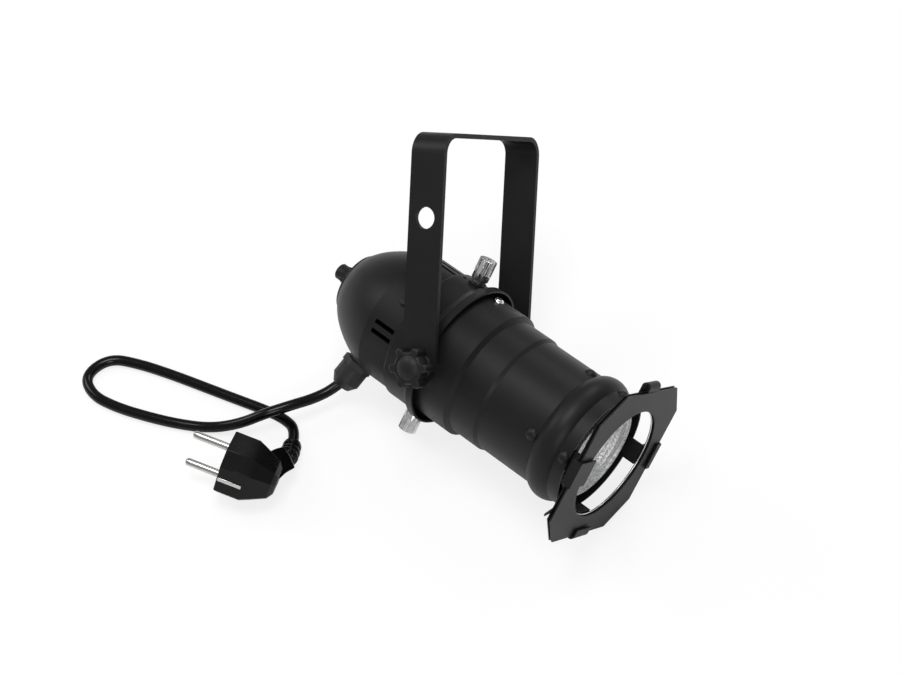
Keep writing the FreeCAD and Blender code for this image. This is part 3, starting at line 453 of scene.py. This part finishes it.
def domes_tree():
    """A part on each given point, its X pointing away from the can's middle line."""
    tree = bpy.data.node_groups.new("parts_round_can", "GeometryNodeTree")
    face = tree.interface
    face.new_socket("Geometry", in_out="INPUT", socket_type="NodeSocketGeometry")
    face.new_socket("Part", in_out="INPUT", socket_type="NodeSocketObject")
    face.new_socket("Size", in_out="INPUT", socket_type="NodeSocketFloat")
    face.new_socket("Finish", in_out="INPUT", socket_type="NodeSocketMaterial")
    face.new_socket("Geometry", in_out="OUTPUT", socket_type="NodeSocketGeometry")
    new = tree.nodes.new
    link = tree.links.new
    given = new("NodeGroupInput").outputs
    result = new("NodeGroupOutput")
    part = new("GeometryNodeObjectInfo")
    link(given["Part"], part.inputs["Object"])
    place = new("GeometryNodeInputPosition")
    outward = new("ShaderNodeVectorMath")
    outward.operation = "MULTIPLY"
    outward.inputs[1].default_value = (0.0, 1.0, 1.0)
    link(place.outputs[0], outward.inputs[0])
    turn = new("FunctionNodeAlignRotationToVector")
    turn.axis = "X"
    link(outward.outputs[0], turn.inputs["Vector"])
    spread = new("GeometryNodeInstanceOnPoints")
    link(given["Geometry"], spread.inputs["Points"])
    link(part.outputs["Geometry"], spread.inputs["Instance"])
    link(turn.outputs["Rotation"], spread.inputs["Rotation"])
    link(given["Size"], spread.inputs["Scale"])
    real = new("GeometryNodeRealizeInstances")
    link(spread.outputs["Instances"], real.inputs["Geometry"])
    paint = new("GeometryNodeSetMaterial")
    link(real.outputs["Geometry"], paint.inputs["Geometry"])
    link(given["Finish"], paint.inputs["Material"])
    link(paint.outputs["Geometry"], result.inputs["Geometry"])
    return tree


# ------------------------------------------------------------------ settings
class SpotlightLook(bpy.types.PropertyGroup):
    enamel_shade: bpy.props.FloatProperty(
        name="Enamel Shade", description="How light the black enamel is", default=0.009,
        min=0.0, max=0.2, subtype="FACTOR")
    enamel_roughness: bpy.props.FloatProperty(
        name="Enamel Roughness", description="How matt the black enamel is", default=0.40,
        min=0.0, max=1.0, subtype="FACTOR")
    light_strength: bpy.props.FloatProperty(
        name="Studio Light", description="Strength of the lamps over the table", default=1.0,
        min=0.0, max=5.0)


class SpotlightScrews(bpy.types.PropertyGroup):
    head_radius: bpy.props.FloatProperty(
        name="Head Radius", description="Radius of a thumb screw's knurled head",
        default=4.7 * MM, unit="LENGTH")
    head_ribs: bpy.props.IntProperty(
        name="Head Ribs", description="Ribs round a thumb screw's head", default=36, min=8)
    knob_ribs: bpy.props.IntProperty(
        name="Focus Knob Ribs", description="Ribs round the focus knob", default=22, min=8)


class SpotlightLead(bpy.types.PropertyGroup):
    diameter: bpy.props.FloatProperty(
        name="Lead Diameter", description="Outside diameter of the mains lead",
        default=5.6 * MM, unit="LENGTH")


# ------------------------------------------------------------------ finishes
# Nodes that are seen in another finish than their slot's.
OTHER_FINISH = {"band_screws": "black_rivets"}


class SPOTLIGHT_OT_finishes(bpy.types.Operator):
    """Give every carried-over node the finish of its slot"""
    bl_idname = "spotlight.finishes"
    bl_label = "Finishes"

    def execute(self, context):
        materials.update(make_finishes(context.scene.spotlight_look))
        for part in frame["record"]["subparts"]:
            mesh = nodes[part["node"]].data
            mesh.materials.clear()
            mesh.materials.append(materials[OTHER_FINISH.get(part["node"],
                                                             part["material_slot"])])
        return {"FINISHED"}


# ------------------------------------------------------------------ clamp knobs
KNOB_STEPS = 288
KNOB_LOBES = 6
KNOB_SEAT = 47.75


def star_radius(angle, lobe_r=2.1, pitch=8.8, core=7.9, phase=math.radians(31.4)):
    """Radius of a star knob at an angle, in millimetres."""
    best = core
    for i in range(KNOB_LOBES):
        a = angle - phase - i * 2 * math.pi / KNOB_LOBES
        across = pitch * math.sin(a)
        if abs(across) < lobe_r and math.cos(a) > 0:
            best = max(best, pitch * math.cos(a) + math.sqrt(lobe_r ** 2 - across ** 2))
    return best


def clamp_knob(side, word):
    """One clamp knob: a star with eased edges and a domed middle."""
    steps = KNOB_STEPS
    rim = [star_radius(2 * math.pi * k / steps) for k in range(steps)]
    for _ in range(3):
        rim = [(rim[k - 1] + 2 * rim[k] + rim[(k + 1) % steps]) / 4 for k in range(steps)]
    start = KNOB_SEAT
    # How far out, how much smaller than the star, and the radius where it is round.
    layers = [(start - 0.55, None, 6.2), (start, None, 6.6), (start, -0.9, 0),
              (start + 0.25, -0.4, 0), (start + 0.8, 0.0, 0), (start + 7.0, 0.0, 0),
              (start + 7.55, -0.25, 0), (start + 7.9, -0.75, 0), (start + 8.0, -1.3, 0)]
    verts, faces, rings = [], [], []
    for y, inset, flat in layers:
        ring = []
        for k in range(steps):
            a = 2 * math.pi * k / steps
            r = flat if inset is None else max(rim[k] + inset, 6.7)
            verts.append((r * math.cos(a), side * y, r * math.sin(a)))
            ring.append(len(verts) - 1)
        rings.append(ring)
    for y, r in ((8.0, 6.75), (7.65, 6.45), (7.75, 6.1), (8.4, 5.2), (9.05, 3.9), (9.5, 2.2)):
        ring = []
        for k in range(steps):
            a = 2 * math.pi * k / steps
            verts.append((r * math.cos(a), side * (start + y), r * math.sin(a)))
            ring.append(len(verts) - 1)
        rings.append(ring)
    for first, second in zip(rings, rings[1:]):
        for k in range(steps):
            n = (k + 1) % steps
            faces.append((first[k], first[n], second[n], second[k]))
    verts.append((0, side * (start + 9.75), 0))
    top = len(verts) - 1
    for k in range(steps):
        faces.append((rings[-1][k], rings[-1][(k + 1) % steps], top))
    faces.append(tuple(reversed(rings[0])))
    knob = piece("star_knob_" + word, verts, faces, "black_moulding", word + "_clamp",
                 38)
    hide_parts("clamp_knob_" + word)


class SPOTLIGHT_OT_clamp_knobs(bpy.types.Operator):
    """Make the two six-lobed clamp knobs"""
    bl_idname = "spotlight.clamp_knobs"
    bl_label = "Clamp Knobs"

    def execute(self, context):
        clamp_knob(-1, "near")
        clamp_knob(1, "far")
        return {"FINISHED"}


# ------------------------------------------------------------------ knurled screws
HEAD_BASE = 37.7          # from the can's middle line to a thumb screw's head
HEAD_MIDDLE = 5.4         # from there to the middle of its ribs
SCREWS_ALONG = -13.7
FOCUS_MIDDLE = -85.0


class SPOTLIGHT_OT_thumb_screws(bpy.types.Operator):
    """Make the two knurled thumb screws and the focus knob"""
    bl_idname = "spotlight.thumb_screws"
    bl_label = "Thumb Screws"

    def execute(self, context):
        screws = context.scene.spotlight_screws
        r = screws.head_radius / MM
        base = HEAD_BASE
        for side, word in ((1, "top"), (-1, "bottom")):
            profile = [(32.9, 0), (32.9, 1.6), (33.3, 2.0), (base, 2.0), (base, 3.3),
                       (base + 0.9, 3.4), (base + 1.1, r - 1.0), (base + 1.4, r - 0.45),
                       (base + 1.9, r - 0.2), (base + 8.9, r - 0.2), (base + 9.3, r - 0.45),
                       (base + 9.8, r - 1.0), (base + 9.9, r - 1.5), (base + 9.7, r - 2.0),
                       (base + 9.7, 0)]
            place = frame_on(CAN_Z * side, (SCREWS_ALONG, 0, 0))
            core = revolved(profile, 72)
            core = ([(x - (base + HEAD_MIDDLE), y, z) for x, y, z in core[0]], core[1])
            made = ribbed("thumb_screw_head_" + word, core,
                          {"Count": screws.head_ribs, "Radius": r - 0.25, "Length": 7.0,
                           "Rib Width": 0.36, "Rib Height": 0.7, "Twist": 0.0},
                          place @ Matrix.Translation((base + HEAD_MIDDLE, 0, 0)),
                          "bright_chrome", word + "_thumb_screw", 30)
            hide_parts("thumb_screw_" + word)
        profile = [(-81.0, 0), (-81.0, 4.0), (-81.3, 4.35), (-88.6, 4.35), (-89.1, 3.9),
                   (-89.3, 3.3), (-89.1, 2.9), (-89.1, 0)]
        core = revolved(profile, 66)
        core = ([(x - FOCUS_MIDDLE, y, z) for x, y, z in core[0]], core[1])
        made = ribbed("focus_knob_grip", core,
                      {"Count": screws.knob_ribs, "Radius": 4.3, "Length": 7.4,
                       "Rib Width": 0.5, "Rib Height": 0.9, "Twist": 0.0},
                      CAN @ Matrix.Translation((FOCUS_MIDDLE, 0, 0)),
                      "black_moulding", "lamp_carriage", 30)
        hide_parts("focus_knob")
        return {"FINISHED"}


# ------------------------------------------------------------------ rivets
RIVET_RINGS = ((62.8, 31.5), (82.8, 31.9))     # along the can, and the can's radius there
RIVETS_ROUND = 4
DOME_HEIGHT = 1.7
DOME_RADIUS = 3.3
DOME_SINK = 0.5
DOME_STEPS = 10


class SPOTLIGHT_OT_rivets(bpy.types.Operator):
    """Put domed rivets where the gel frame's arms are fixed"""
    bl_idname = "spotlight.rivets"
    bl_label = "Rivets"

    def execute(self, context):
        ball = (DOME_RADIUS ** 2 + DOME_HEIGHT ** 2) / (2 * DOME_HEIGHT)
        profile = [(-DOME_SINK, 0), (-DOME_SINK, DOME_RADIUS)]
        for i in range(DOME_STEPS + 1):
            angle = math.asin(DOME_RADIUS / ball) * (1 - i / DOME_STEPS)
            profile.append((DOME_HEIGHT - ball + ball * math.cos(angle),
                            ball * math.sin(angle)))
        profile[-1] = (DOME_HEIGHT, 0)
        verts, faces = revolved(profile, 40)
        dome_mesh = bpy.data.meshes.new("rivet_dome")
        dome_mesh.from_pydata(verts, [], faces)
        points = []
        for x, r in RIVET_RINGS:
            for k in range(RIVETS_ROUND):
                a = 2 * math.pi * k / RIVETS_ROUND
                points.append((x, r * math.cos(a), r * math.sin(a)))
        spots = bpy.data.meshes.new("rivet_points")
        spots.from_pydata(points, [], [])
        source = shown("rivet_points", spots)
        dome = shown("rivet_dome", dome_mesh)
        made_mesh = real_mesh(source, domes_tree(), {
            "Part": dome, "Size": 1.0, "Finish": materials["black_rivets"]})
        bpy.data.objects.remove(dome)
        made_mesh.transform(CAN)
        cleaned(made_mesh, True)
        finish_piece(shown("domed_rivets", made_mesh), "black_rivets", "light",
                     50)
        return {"FINISHED"}


# ------------------------------------------------------------------ lamp
LAMP_FACE = 85.6
BOWL_ROWS = 21
BOWL_AROUND = 64
BOWL_THROAT = 8.4         # radius of the faceted bowl at its back
BOWL_MOUTH = 22.6         # and at its front
FACET_RISE = 0.22
LIP_ALONG = 94.1          # the bare edge in the gel frame's window
LIP_RADIUS = 30.0
LIP_THICK = 0.34


class SPOTLIGHT_OT_lamp(bpy.types.Operator):
    """Make the lamp's faceted reflector and the gel frame's bare inner edge"""
    bl_idname = "spotlight.lamp"
    bl_label = "Lamp"

    def execute(self, context):
        bowl = []
        for i in range(BOWL_ROWS + 1):
            t = i / BOWL_ROWS
            depth = 3.2 + 23.6 * (1 - t ** 1.9)
            bowl.append((LAMP_FACE - depth, BOWL_THROAT + (BOWL_MOUTH - BOWL_THROAT) * t))
        bowl = [(LAMP_FACE - 26.8, 5.3)] + bowl
        verts, faces = revolved(bowl, BOWL_AROUND, twist=lambda i: 0.5 * (i % 2))
        # Each facet is split about its own middle, which stands a little proud.
        centre = Vector((LAMP_FACE - 4, 0, 0))
        out_verts, out_faces = list(verts), []
        for face in faces:
            mid = sum((Vector(verts[v]) for v in face), Vector()) / len(face)
            out_verts.append(mid + (centre - mid).normalized() * FACET_RISE)
            top = len(out_verts) - 1
            for a, b in zip(face, list(face[1:]) + [face[0]]):
                out_faces.append((a, b, top))
        # The bowl's back, as depth behind the lamp's face and radius.
        shell = [(LAMP_FACE - depth, r) for depth, r in (
            (3.2, 22.6), (1.2, 22.6), (1.2, 24.2), (0.1, 24.2), (0, 24.4), (0, 25.0),
            (0.25, 25.2), (2.9, 25.2), (3.4, 24.3), (9.0, 22.9), (15.0, 20.0), (20.0, 16.8),
            (25.0, 13.0), (29.0, 10.0), (29.0, 5.3), (26.8, 5.3))]
        verts, faces = revolved([(LIP_ALONG + LIP_THICK * math.cos(k * math.pi / 4),
                                  LIP_RADIUS + LIP_THICK * math.sin(k * math.pi / 4))
                                 for k in range(9)], 120)
        piece("bare_frame_lip", verts, faces, "bright_chrome", "light", 60)
        bowl_piece = piece("faceted_bowl", out_verts, out_faces, "lamp_mirror", "lamp_carriage",
                           None)
        verts, faces = revolved(shell, 80)
        back = piece("bowl_back", verts, faces, "lamp_mirror", "lamp_carriage", 35)
        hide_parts("lamp_reflector")
        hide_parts("lamp_reflector")
        return {"FINISHED"}


# ------------------------------------------------------------------ mains lead
# Control points of the lead's run, from inside the gland to inside the plug's boot.
ROUTE = [
    (-0.05629, -0.05896, 0.01657), (-0.0583, -0.0672, 0.0128), (-0.0619, -0.0780, 0.0120),
    (-0.0670, -0.0900, 0.0136), (-0.0733, -0.1018, 0.0130), (-0.0820, -0.1130, 0.0068),
    (-0.0935, -0.1235, 0.0028), (-0.1080, -0.1330, 0.0028), (-0.1230, -0.1405, 0.0028),
    (-0.1385, -0.1470, 0.0028), (-0.1535, -0.1505, 0.0028), (-0.1660, -0.1450, 0.0028),
    (-0.1650, -0.1285, 0.0028), (-0.1495, -0.1200, 0.0028), (-0.1310, -0.1130, 0.0028),
    (-0.1120, -0.1068, 0.0028), (-0.0950, -0.1012, 0.0028), (-0.0820, -0.0968, 0.0028),
    (-0.0700, -0.0935, 0.0028), (-0.0595, -0.0945, 0.0034), (-0.0534, -0.1036, 0.0046)]


class SPOTLIGHT_OT_mains_lead(bpy.types.Operator):
    """Lay the mains lead from the gland to the plug"""
    bl_idname = "spotlight.mains_lead"
    bl_label = "Mains Lead"

    def execute(self, context):
        diameter = context.scene.spotlight_lead.diameter
        curve = bpy.data.curves.new("mains_lead", "CURVE")
        curve.dimensions = "3D"
        curve.bevel_depth = diameter / 2
        curve.bevel_resolution = 8
        curve.resolution_u = 16
        curve.use_fill_caps = True
        spline = curve.splines.new("NURBS")
        spline.points.add(len(ROUTE) - 1)
        for point, place in zip(spline.points, ROUTE):
            point.co = (*place, 1.0)
        spline.order_u = 3
        spline.use_endpoint_u = True
        lead = shown("mains_lead", curve)
        curve.materials.append(materials["lead_rubber"])
        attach(lead, "light")
        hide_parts("mains_cord")
        return {"FINISHED"}


# ------------------------------------------------------------------ plug
# The plug rests on its rim and its narrow end, so its axis leans down to the back.
PLUG_FACE = Vector((-0.06497, -0.13822, 0.01880))
PLUG_IN = Vector((0.8888, 0.4083, -0.2083)).normalized()
PLUG_SIDE = Vector((0.4563, -0.8310, 0.3181))
PLUG_SIDE = (PLUG_SIDE - PLUG_IN * PLUG_SIDE.dot(PLUG_IN)).normalized()
PLUG_UP = PLUG_SIDE.cross(PLUG_IN).normalized()
PLUG = basis(PLUG_IN, PLUG_UP, PLUG_SIDE, PLUG_FACE) @ Matrix.Scale(MM, 4)
# The boot's middle line from the lead into the plug, in millimetres.
BOOT_RUN = [(-54.3, -102.2, 4.5), (-51.4, -106.6, 5.8), (-49.2, -111.0, 7.8),
            (-48.5, -115.6, 9.9), (-49.0, -119.8, 11.7), (-49.0, -125.7, 12.9)]
# The body's sections: along, half height, half width, and how much its corners are cut.
BODY_SECTIONS = [(0.0, 14.4, 13.6, 6.4), (0.5, 14.7, 13.9, 6.5), (13.2, 14.7, 13.9, 6.5),
                 (18.0, 12.6, 12.2, 5.6), (26.0, 8.8, 9.2, 4.0), (28.3, 5.6, 6.4, 2.6)]
BOOT_STEPS = 12
BOOT_AROUND = 32
BOOT_RADIUS = 4.3
RIB_HEIGHT = 0.55
RIBS_FROM, RIBS_TO = 0.06, 0.50        # parts of the boot's length
PIN_APART = 19.0
PIN_PROFILE = [(2.0, 0), (2.0, 2.0), (-17.0, 2.0), (-18.0, 1.85), (-18.7, 1.35),
               (-19.0, 0.7), (-19.05, 0)]
ANY_DEPTH = 99


def octagon(up, side, cut):
    return [(up, side - cut), (up - cut, side), (cut - up, side), (-up, side - cut),
            (-up, cut - side), (cut - up, -side), (up - cut, -side), (up, cut - side)]


def bevelled(made, width, segments=3, angle=25):
    """Ease a piece's edges by a width in millimetres."""
    modifier = made.modifiers.new("Eased Edges", "BEVEL")
    modifier.width = width * MM
    modifier.segments = segments
    modifier.limit_method = "ANGLE"
    modifier.angle_limit = math.radians(angle)


def smooth_run(points, steps):
    """Points on a smooth line through the given points."""
    out = []
    for i in range(len(points) - 1):
        p = [Vector(points[max(0, min(len(points) - 1, i + k))]) for k in (-1, 0, 1, 2)]
        for j in range(steps):
            t = j / steps
            out.append(0.5 * ((2 * p[1]) + (p[2] - p[0]) * t
                              + (2 * p[0] - 5 * p[1] + 4 * p[2] - p[3]) * t ** 2
                              + (3 * p[1] - p[0] - 3 * p[2] + p[3]) * t ** 3))
    return out + [Vector(points[-1])]


class SPOTLIGHT_OT_plug(bpy.types.Operator):
    """Make the plug's moulded body, pins, earth strips and ribbed boot"""
    bl_idname = "spotlight.plug"
    bl_label = "Plug"

    def execute(self, context):
        self.body()
        self.metal()
        self.boot()
        return {"FINISHED"}

    def body(self):
        verts, faces = [], []
        for x, up, side, cut in BODY_SECTIONS:
            verts += [(x, u, v) for u, v in octagon(up, side, cut)]
        for i in range(len(BODY_SECTIONS) - 1):
            for k in range(8):
                n = (k + 1) % 8
                faces.append((8 * i + k, 8 * i + n, 8 * i + 8 + n, 8 * i + 8 + k))
        faces.append(tuple(range(8)))
        last = 8 * (len(BODY_SECTIONS) - 1)
        faces.append(tuple(range(last, last + 8)))
        body = piece("plug_moulding", verts, faces, "plug_black", "light",
                     30, PLUG)
        bevelled(body, 0.9)
        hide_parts("plug_body")

    def metal(self):
        for name, side in (("plug_pin_upper", PIN_APART / 2),
                           ("plug_pin_lower", -PIN_APART / 2)):
            verts, faces = revolved(PIN_PROFILE, 40)
            shaft = piece(name, verts, faces, "nickel_pin", "light", 35,
                          PLUG @ Matrix.Translation((0, side, 0)))
            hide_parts("plug_pins")
        for name, way in (("earth_strip_near", 1), ("earth_strip_far", -1)):
            corners = [(x, y, z * way) for z in (13.2, 14.5) for x, y in
                       ((0.6, -1.1), (13.0, -1.1), (13.0, 1.1), (0.6, 1.1))]
            sides = [(0, 1, 2, 3), (4, 5, 6, 7), (0, 1, 5, 4), (1, 2, 6, 5), (2, 3, 7, 6),
                     (3, 0, 4, 7)]
            strip = piece(name, corners, sides, "nickel_pin", "light", 30, PLUG)
            bevelled(strip, 0.3, 2)
            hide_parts("plug_earth_strips")

    def boot(self):
        """Ribbed where the lead enters, and boxy where it meets the body."""
        run = smooth_run(BOOT_RUN, BOOT_STEPS)
        total = len(run) - 1
        around = BOOT_AROUND
        verts, faces = [], []
        side_way = PLUG_SIDE
        for i, place in enumerate(run):
            ahead = (run[min(i + 1, total)] - run[max(i - 1, 0)]).normalized()
            side_way = (side_way - ahead * side_way.dot(ahead)).normalized()
            other = ahead.cross(side_way)
            t = i / total
            rib = RIB_HEIGHT * (1 if (i // 4) % 2 else -1) if RIBS_FROM < t < RIBS_TO else 0.0
            r = BOOT_RADIUS + 2.6 * max(0.0, t - 0.1) + rib
            square = max(0.0, min(1.0, (t - RIBS_TO) / 0.08))
            r += square * 0.7
            for k in range(around):
                a = 2 * math.pi * k / around
                c, d = math.cos(a), math.sin(a)
                boxy = 1 / max(abs(c), abs(d)) ** (0.85 * square)
                way = side_way * c + other * d
                # Where it points down, the boot stops just over the floor.
                reach = place.z - 0.05 if d * other.z + c * side_way.z < -0.5 else ANY_DEPTH
                verts.append(place + way * min(r * boxy, reach))
        for i in range(total):
            for k in range(around):
                n = (k + 1) % around
                faces.append((around * i + k, around * i + n, around * (i + 1) + n,
                              around * (i + 1) + k))
        faces.append(tuple(range(around)))
        faces.append(tuple(range(around * total, around * total + around)))
        boot = piece("plug_ribbed_boot", verts, faces, "lead_rubber", "light",
                     35, Matrix.Scale(MM, 4))
        bevelled(boot, 0.2, 2, 35)
        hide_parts("plug_boot")


# ------------------------------------------------------------------ stage
CAMERA_PLACE = (0.36487, -0.45168, 0.84229)
CAMERA_RIGHT = Vector((0.74184443, 0.67055621, 0.0046422))
CAMERA_DOWN = Vector((0.54478899, -0.5986412, -0.58722593))
CAMERA_AHEAD = Vector((-0.39098879, 0.43815905, -0.80940963))
SENSOR = 36.0
LENS = 77.75144
FLOOR_HALF = 6
FLOOR_GLOW = 0.80         # how much of the floor's paleness is its own, to the camera
WORLD_STRENGTH = 0.36
LAMPS = (                 # name, place, side of the square, watts
    ("over_light", (-0.10, -0.15, 1.15), 0.5, 6.5),
    ("key_light", (0.75, -0.75, 0.85), 0.45, 3.5),
    ("left_light", (-0.9, -0.35, 0.75), 0.45, 3.0),
    ("back_light", (-0.2, 1.0, 0.9), 0.5, 3.5))


class SPOTLIGHT_OT_stage(bpy.types.Operator):
    """Set out the floor, the soft studio lamps and the camera"""
    bl_idname = "spotlight.stage"
    bl_label = "Stage"

    def execute(self, context):
        self.floor()
        self.lamps(context.scene)
        self.camera(context.scene)
        context.scene.view_settings.view_transform = "Standard"
        return {"FINISHED"}

    def floor(self):
        floor_finish = Finish("pale_floor", roughness=0.6)
        cloud = floor_finish.noise(30.0, 2.0, 0.5)
        floor_finish.set(base_color=mixed(floor_finish, cloud, grey(0.93), grey(0.95)))
        ray = floor_finish.node("ShaderNodeLightPath")
        glow = floor_finish.node("ShaderNodeEmission", {},
                                 {"Color": grey(1.0), "Strength": 1.0})[0]
        mix = floor_finish.tree.nodes.new("ShaderNodeMixShader")
        seen = ray[0] * FLOOR_GLOW
        floor_finish.tree.links.new(seen.socket, mix.inputs[0])
        floor_finish.tree.links.new(floor_finish.shader.outputs[0], mix.inputs[1])
        floor_finish.tree.links.new(glow.socket, mix.inputs[2])
        floor_finish.tree.links.new(mix.outputs[0], floor_finish.output.inputs["Surface"])
        mesh = bpy.data.meshes.new("table")
        h = FLOOR_HALF
        mesh.from_pydata([(-h, -h, 0), (h, -h, 0), (h, h, 0), (-h, h, 0)], [], [(0, 1, 2, 3)])
        table = shown("table", mesh)
        mesh.materials.append(floor_finish.material)

    def lamps(self, scene):
        world = bpy.data.worlds.new("studio")
        scene.world = world
        world.use_nodes = True
        background = world.node_tree.nodes["Background"]
        background.inputs["Color"].default_value = grey(1.0)
        background.inputs["Strength"].default_value = WORLD_STRENGTH

        strength = scene.spotlight_look.light_strength
        aim = Vector((0.0, -0.02, 0.05))
        for name, place, size, power in LAMPS:
            lamp = bpy.data.lights.new(name, "AREA")
            lamp.shape = "SQUARE"
            lamp.size = size
            lamp.energy = power * strength
            made = shown(name, lamp)
            made.location = place
            made.rotation_euler = (aim - Vector(place)).to_track_quat("-Z", "Y").to_euler()

    def camera(self, scene):
        data = bpy.data.cameras.new("camera")
        data.sensor_width = SENSOR
        data.lens = LENS
        camera = shown("camera", data)
        camera.matrix_world = basis(CAMERA_RIGHT, -CAMERA_DOWN, -CAMERA_AHEAD,
                                    Vector(CAMERA_PLACE))
        scene.camera = camera


class SPOTLIGHT_PT_panel(bpy.types.Panel):
    """List the spotlight's pieces and settings"""
    bl_idname = "SPOTLIGHT_PT_panel"
    bl_label = "Stage Spotlight"
    bl_space_type = "VIEW_3D"
    bl_region_type = "UI"
    bl_category = "Spotlight"

    def draw(self, context):
        for group in (context.scene.spotlight_look, context.scene.spotlight_screws,
                      context.scene.spotlight_lead):
            for key in group.bl_rna.properties.keys():
                if key not in ("rna_type", "name"):
                    self.layout.prop(group, key)
        for operator in OPERATORS:
            self.layout.operator(operator.bl_idname)


GROUPS = {"spotlight_look": SpotlightLook, "spotlight_screws": SpotlightScrews,
          "spotlight_lead": SpotlightLead}
OPERATORS = (SPOTLIGHT_OT_finishes, SPOTLIGHT_OT_clamp_knobs, SPOTLIGHT_OT_thumb_screws,
             SPOTLIGHT_OT_rivets, SPOTLIGHT_OT_lamp, SPOTLIGHT_OT_plug, SPOTLIGHT_OT_mains_lead,
             SPOTLIGHT_OT_stage)
CLASSES = tuple(GROUPS.values()) + OPERATORS + (SPOTLIGHT_PT_panel,)


def register():
    """Make the panel, operators and settings known"""
    for cls in CLASSES:
        bpy.utils.register_class(cls)
    for name, cls in GROUPS.items():
        setattr(bpy.types.Scene, name, bpy.props.PointerProperty(type=cls))


def unregister():
    for name in GROUPS:
        delattr(bpy.types.Scene, name)
    for cls in reversed(CLASSES):
        bpy.utils.unregister_class(cls)


def main():
    register()
    for operator in OPERATORS:
        group, name = operator.bl_idname.split(".")
        getattr(getattr(bpy.ops, group), name)()


if __name__ == "__main__":
    main()
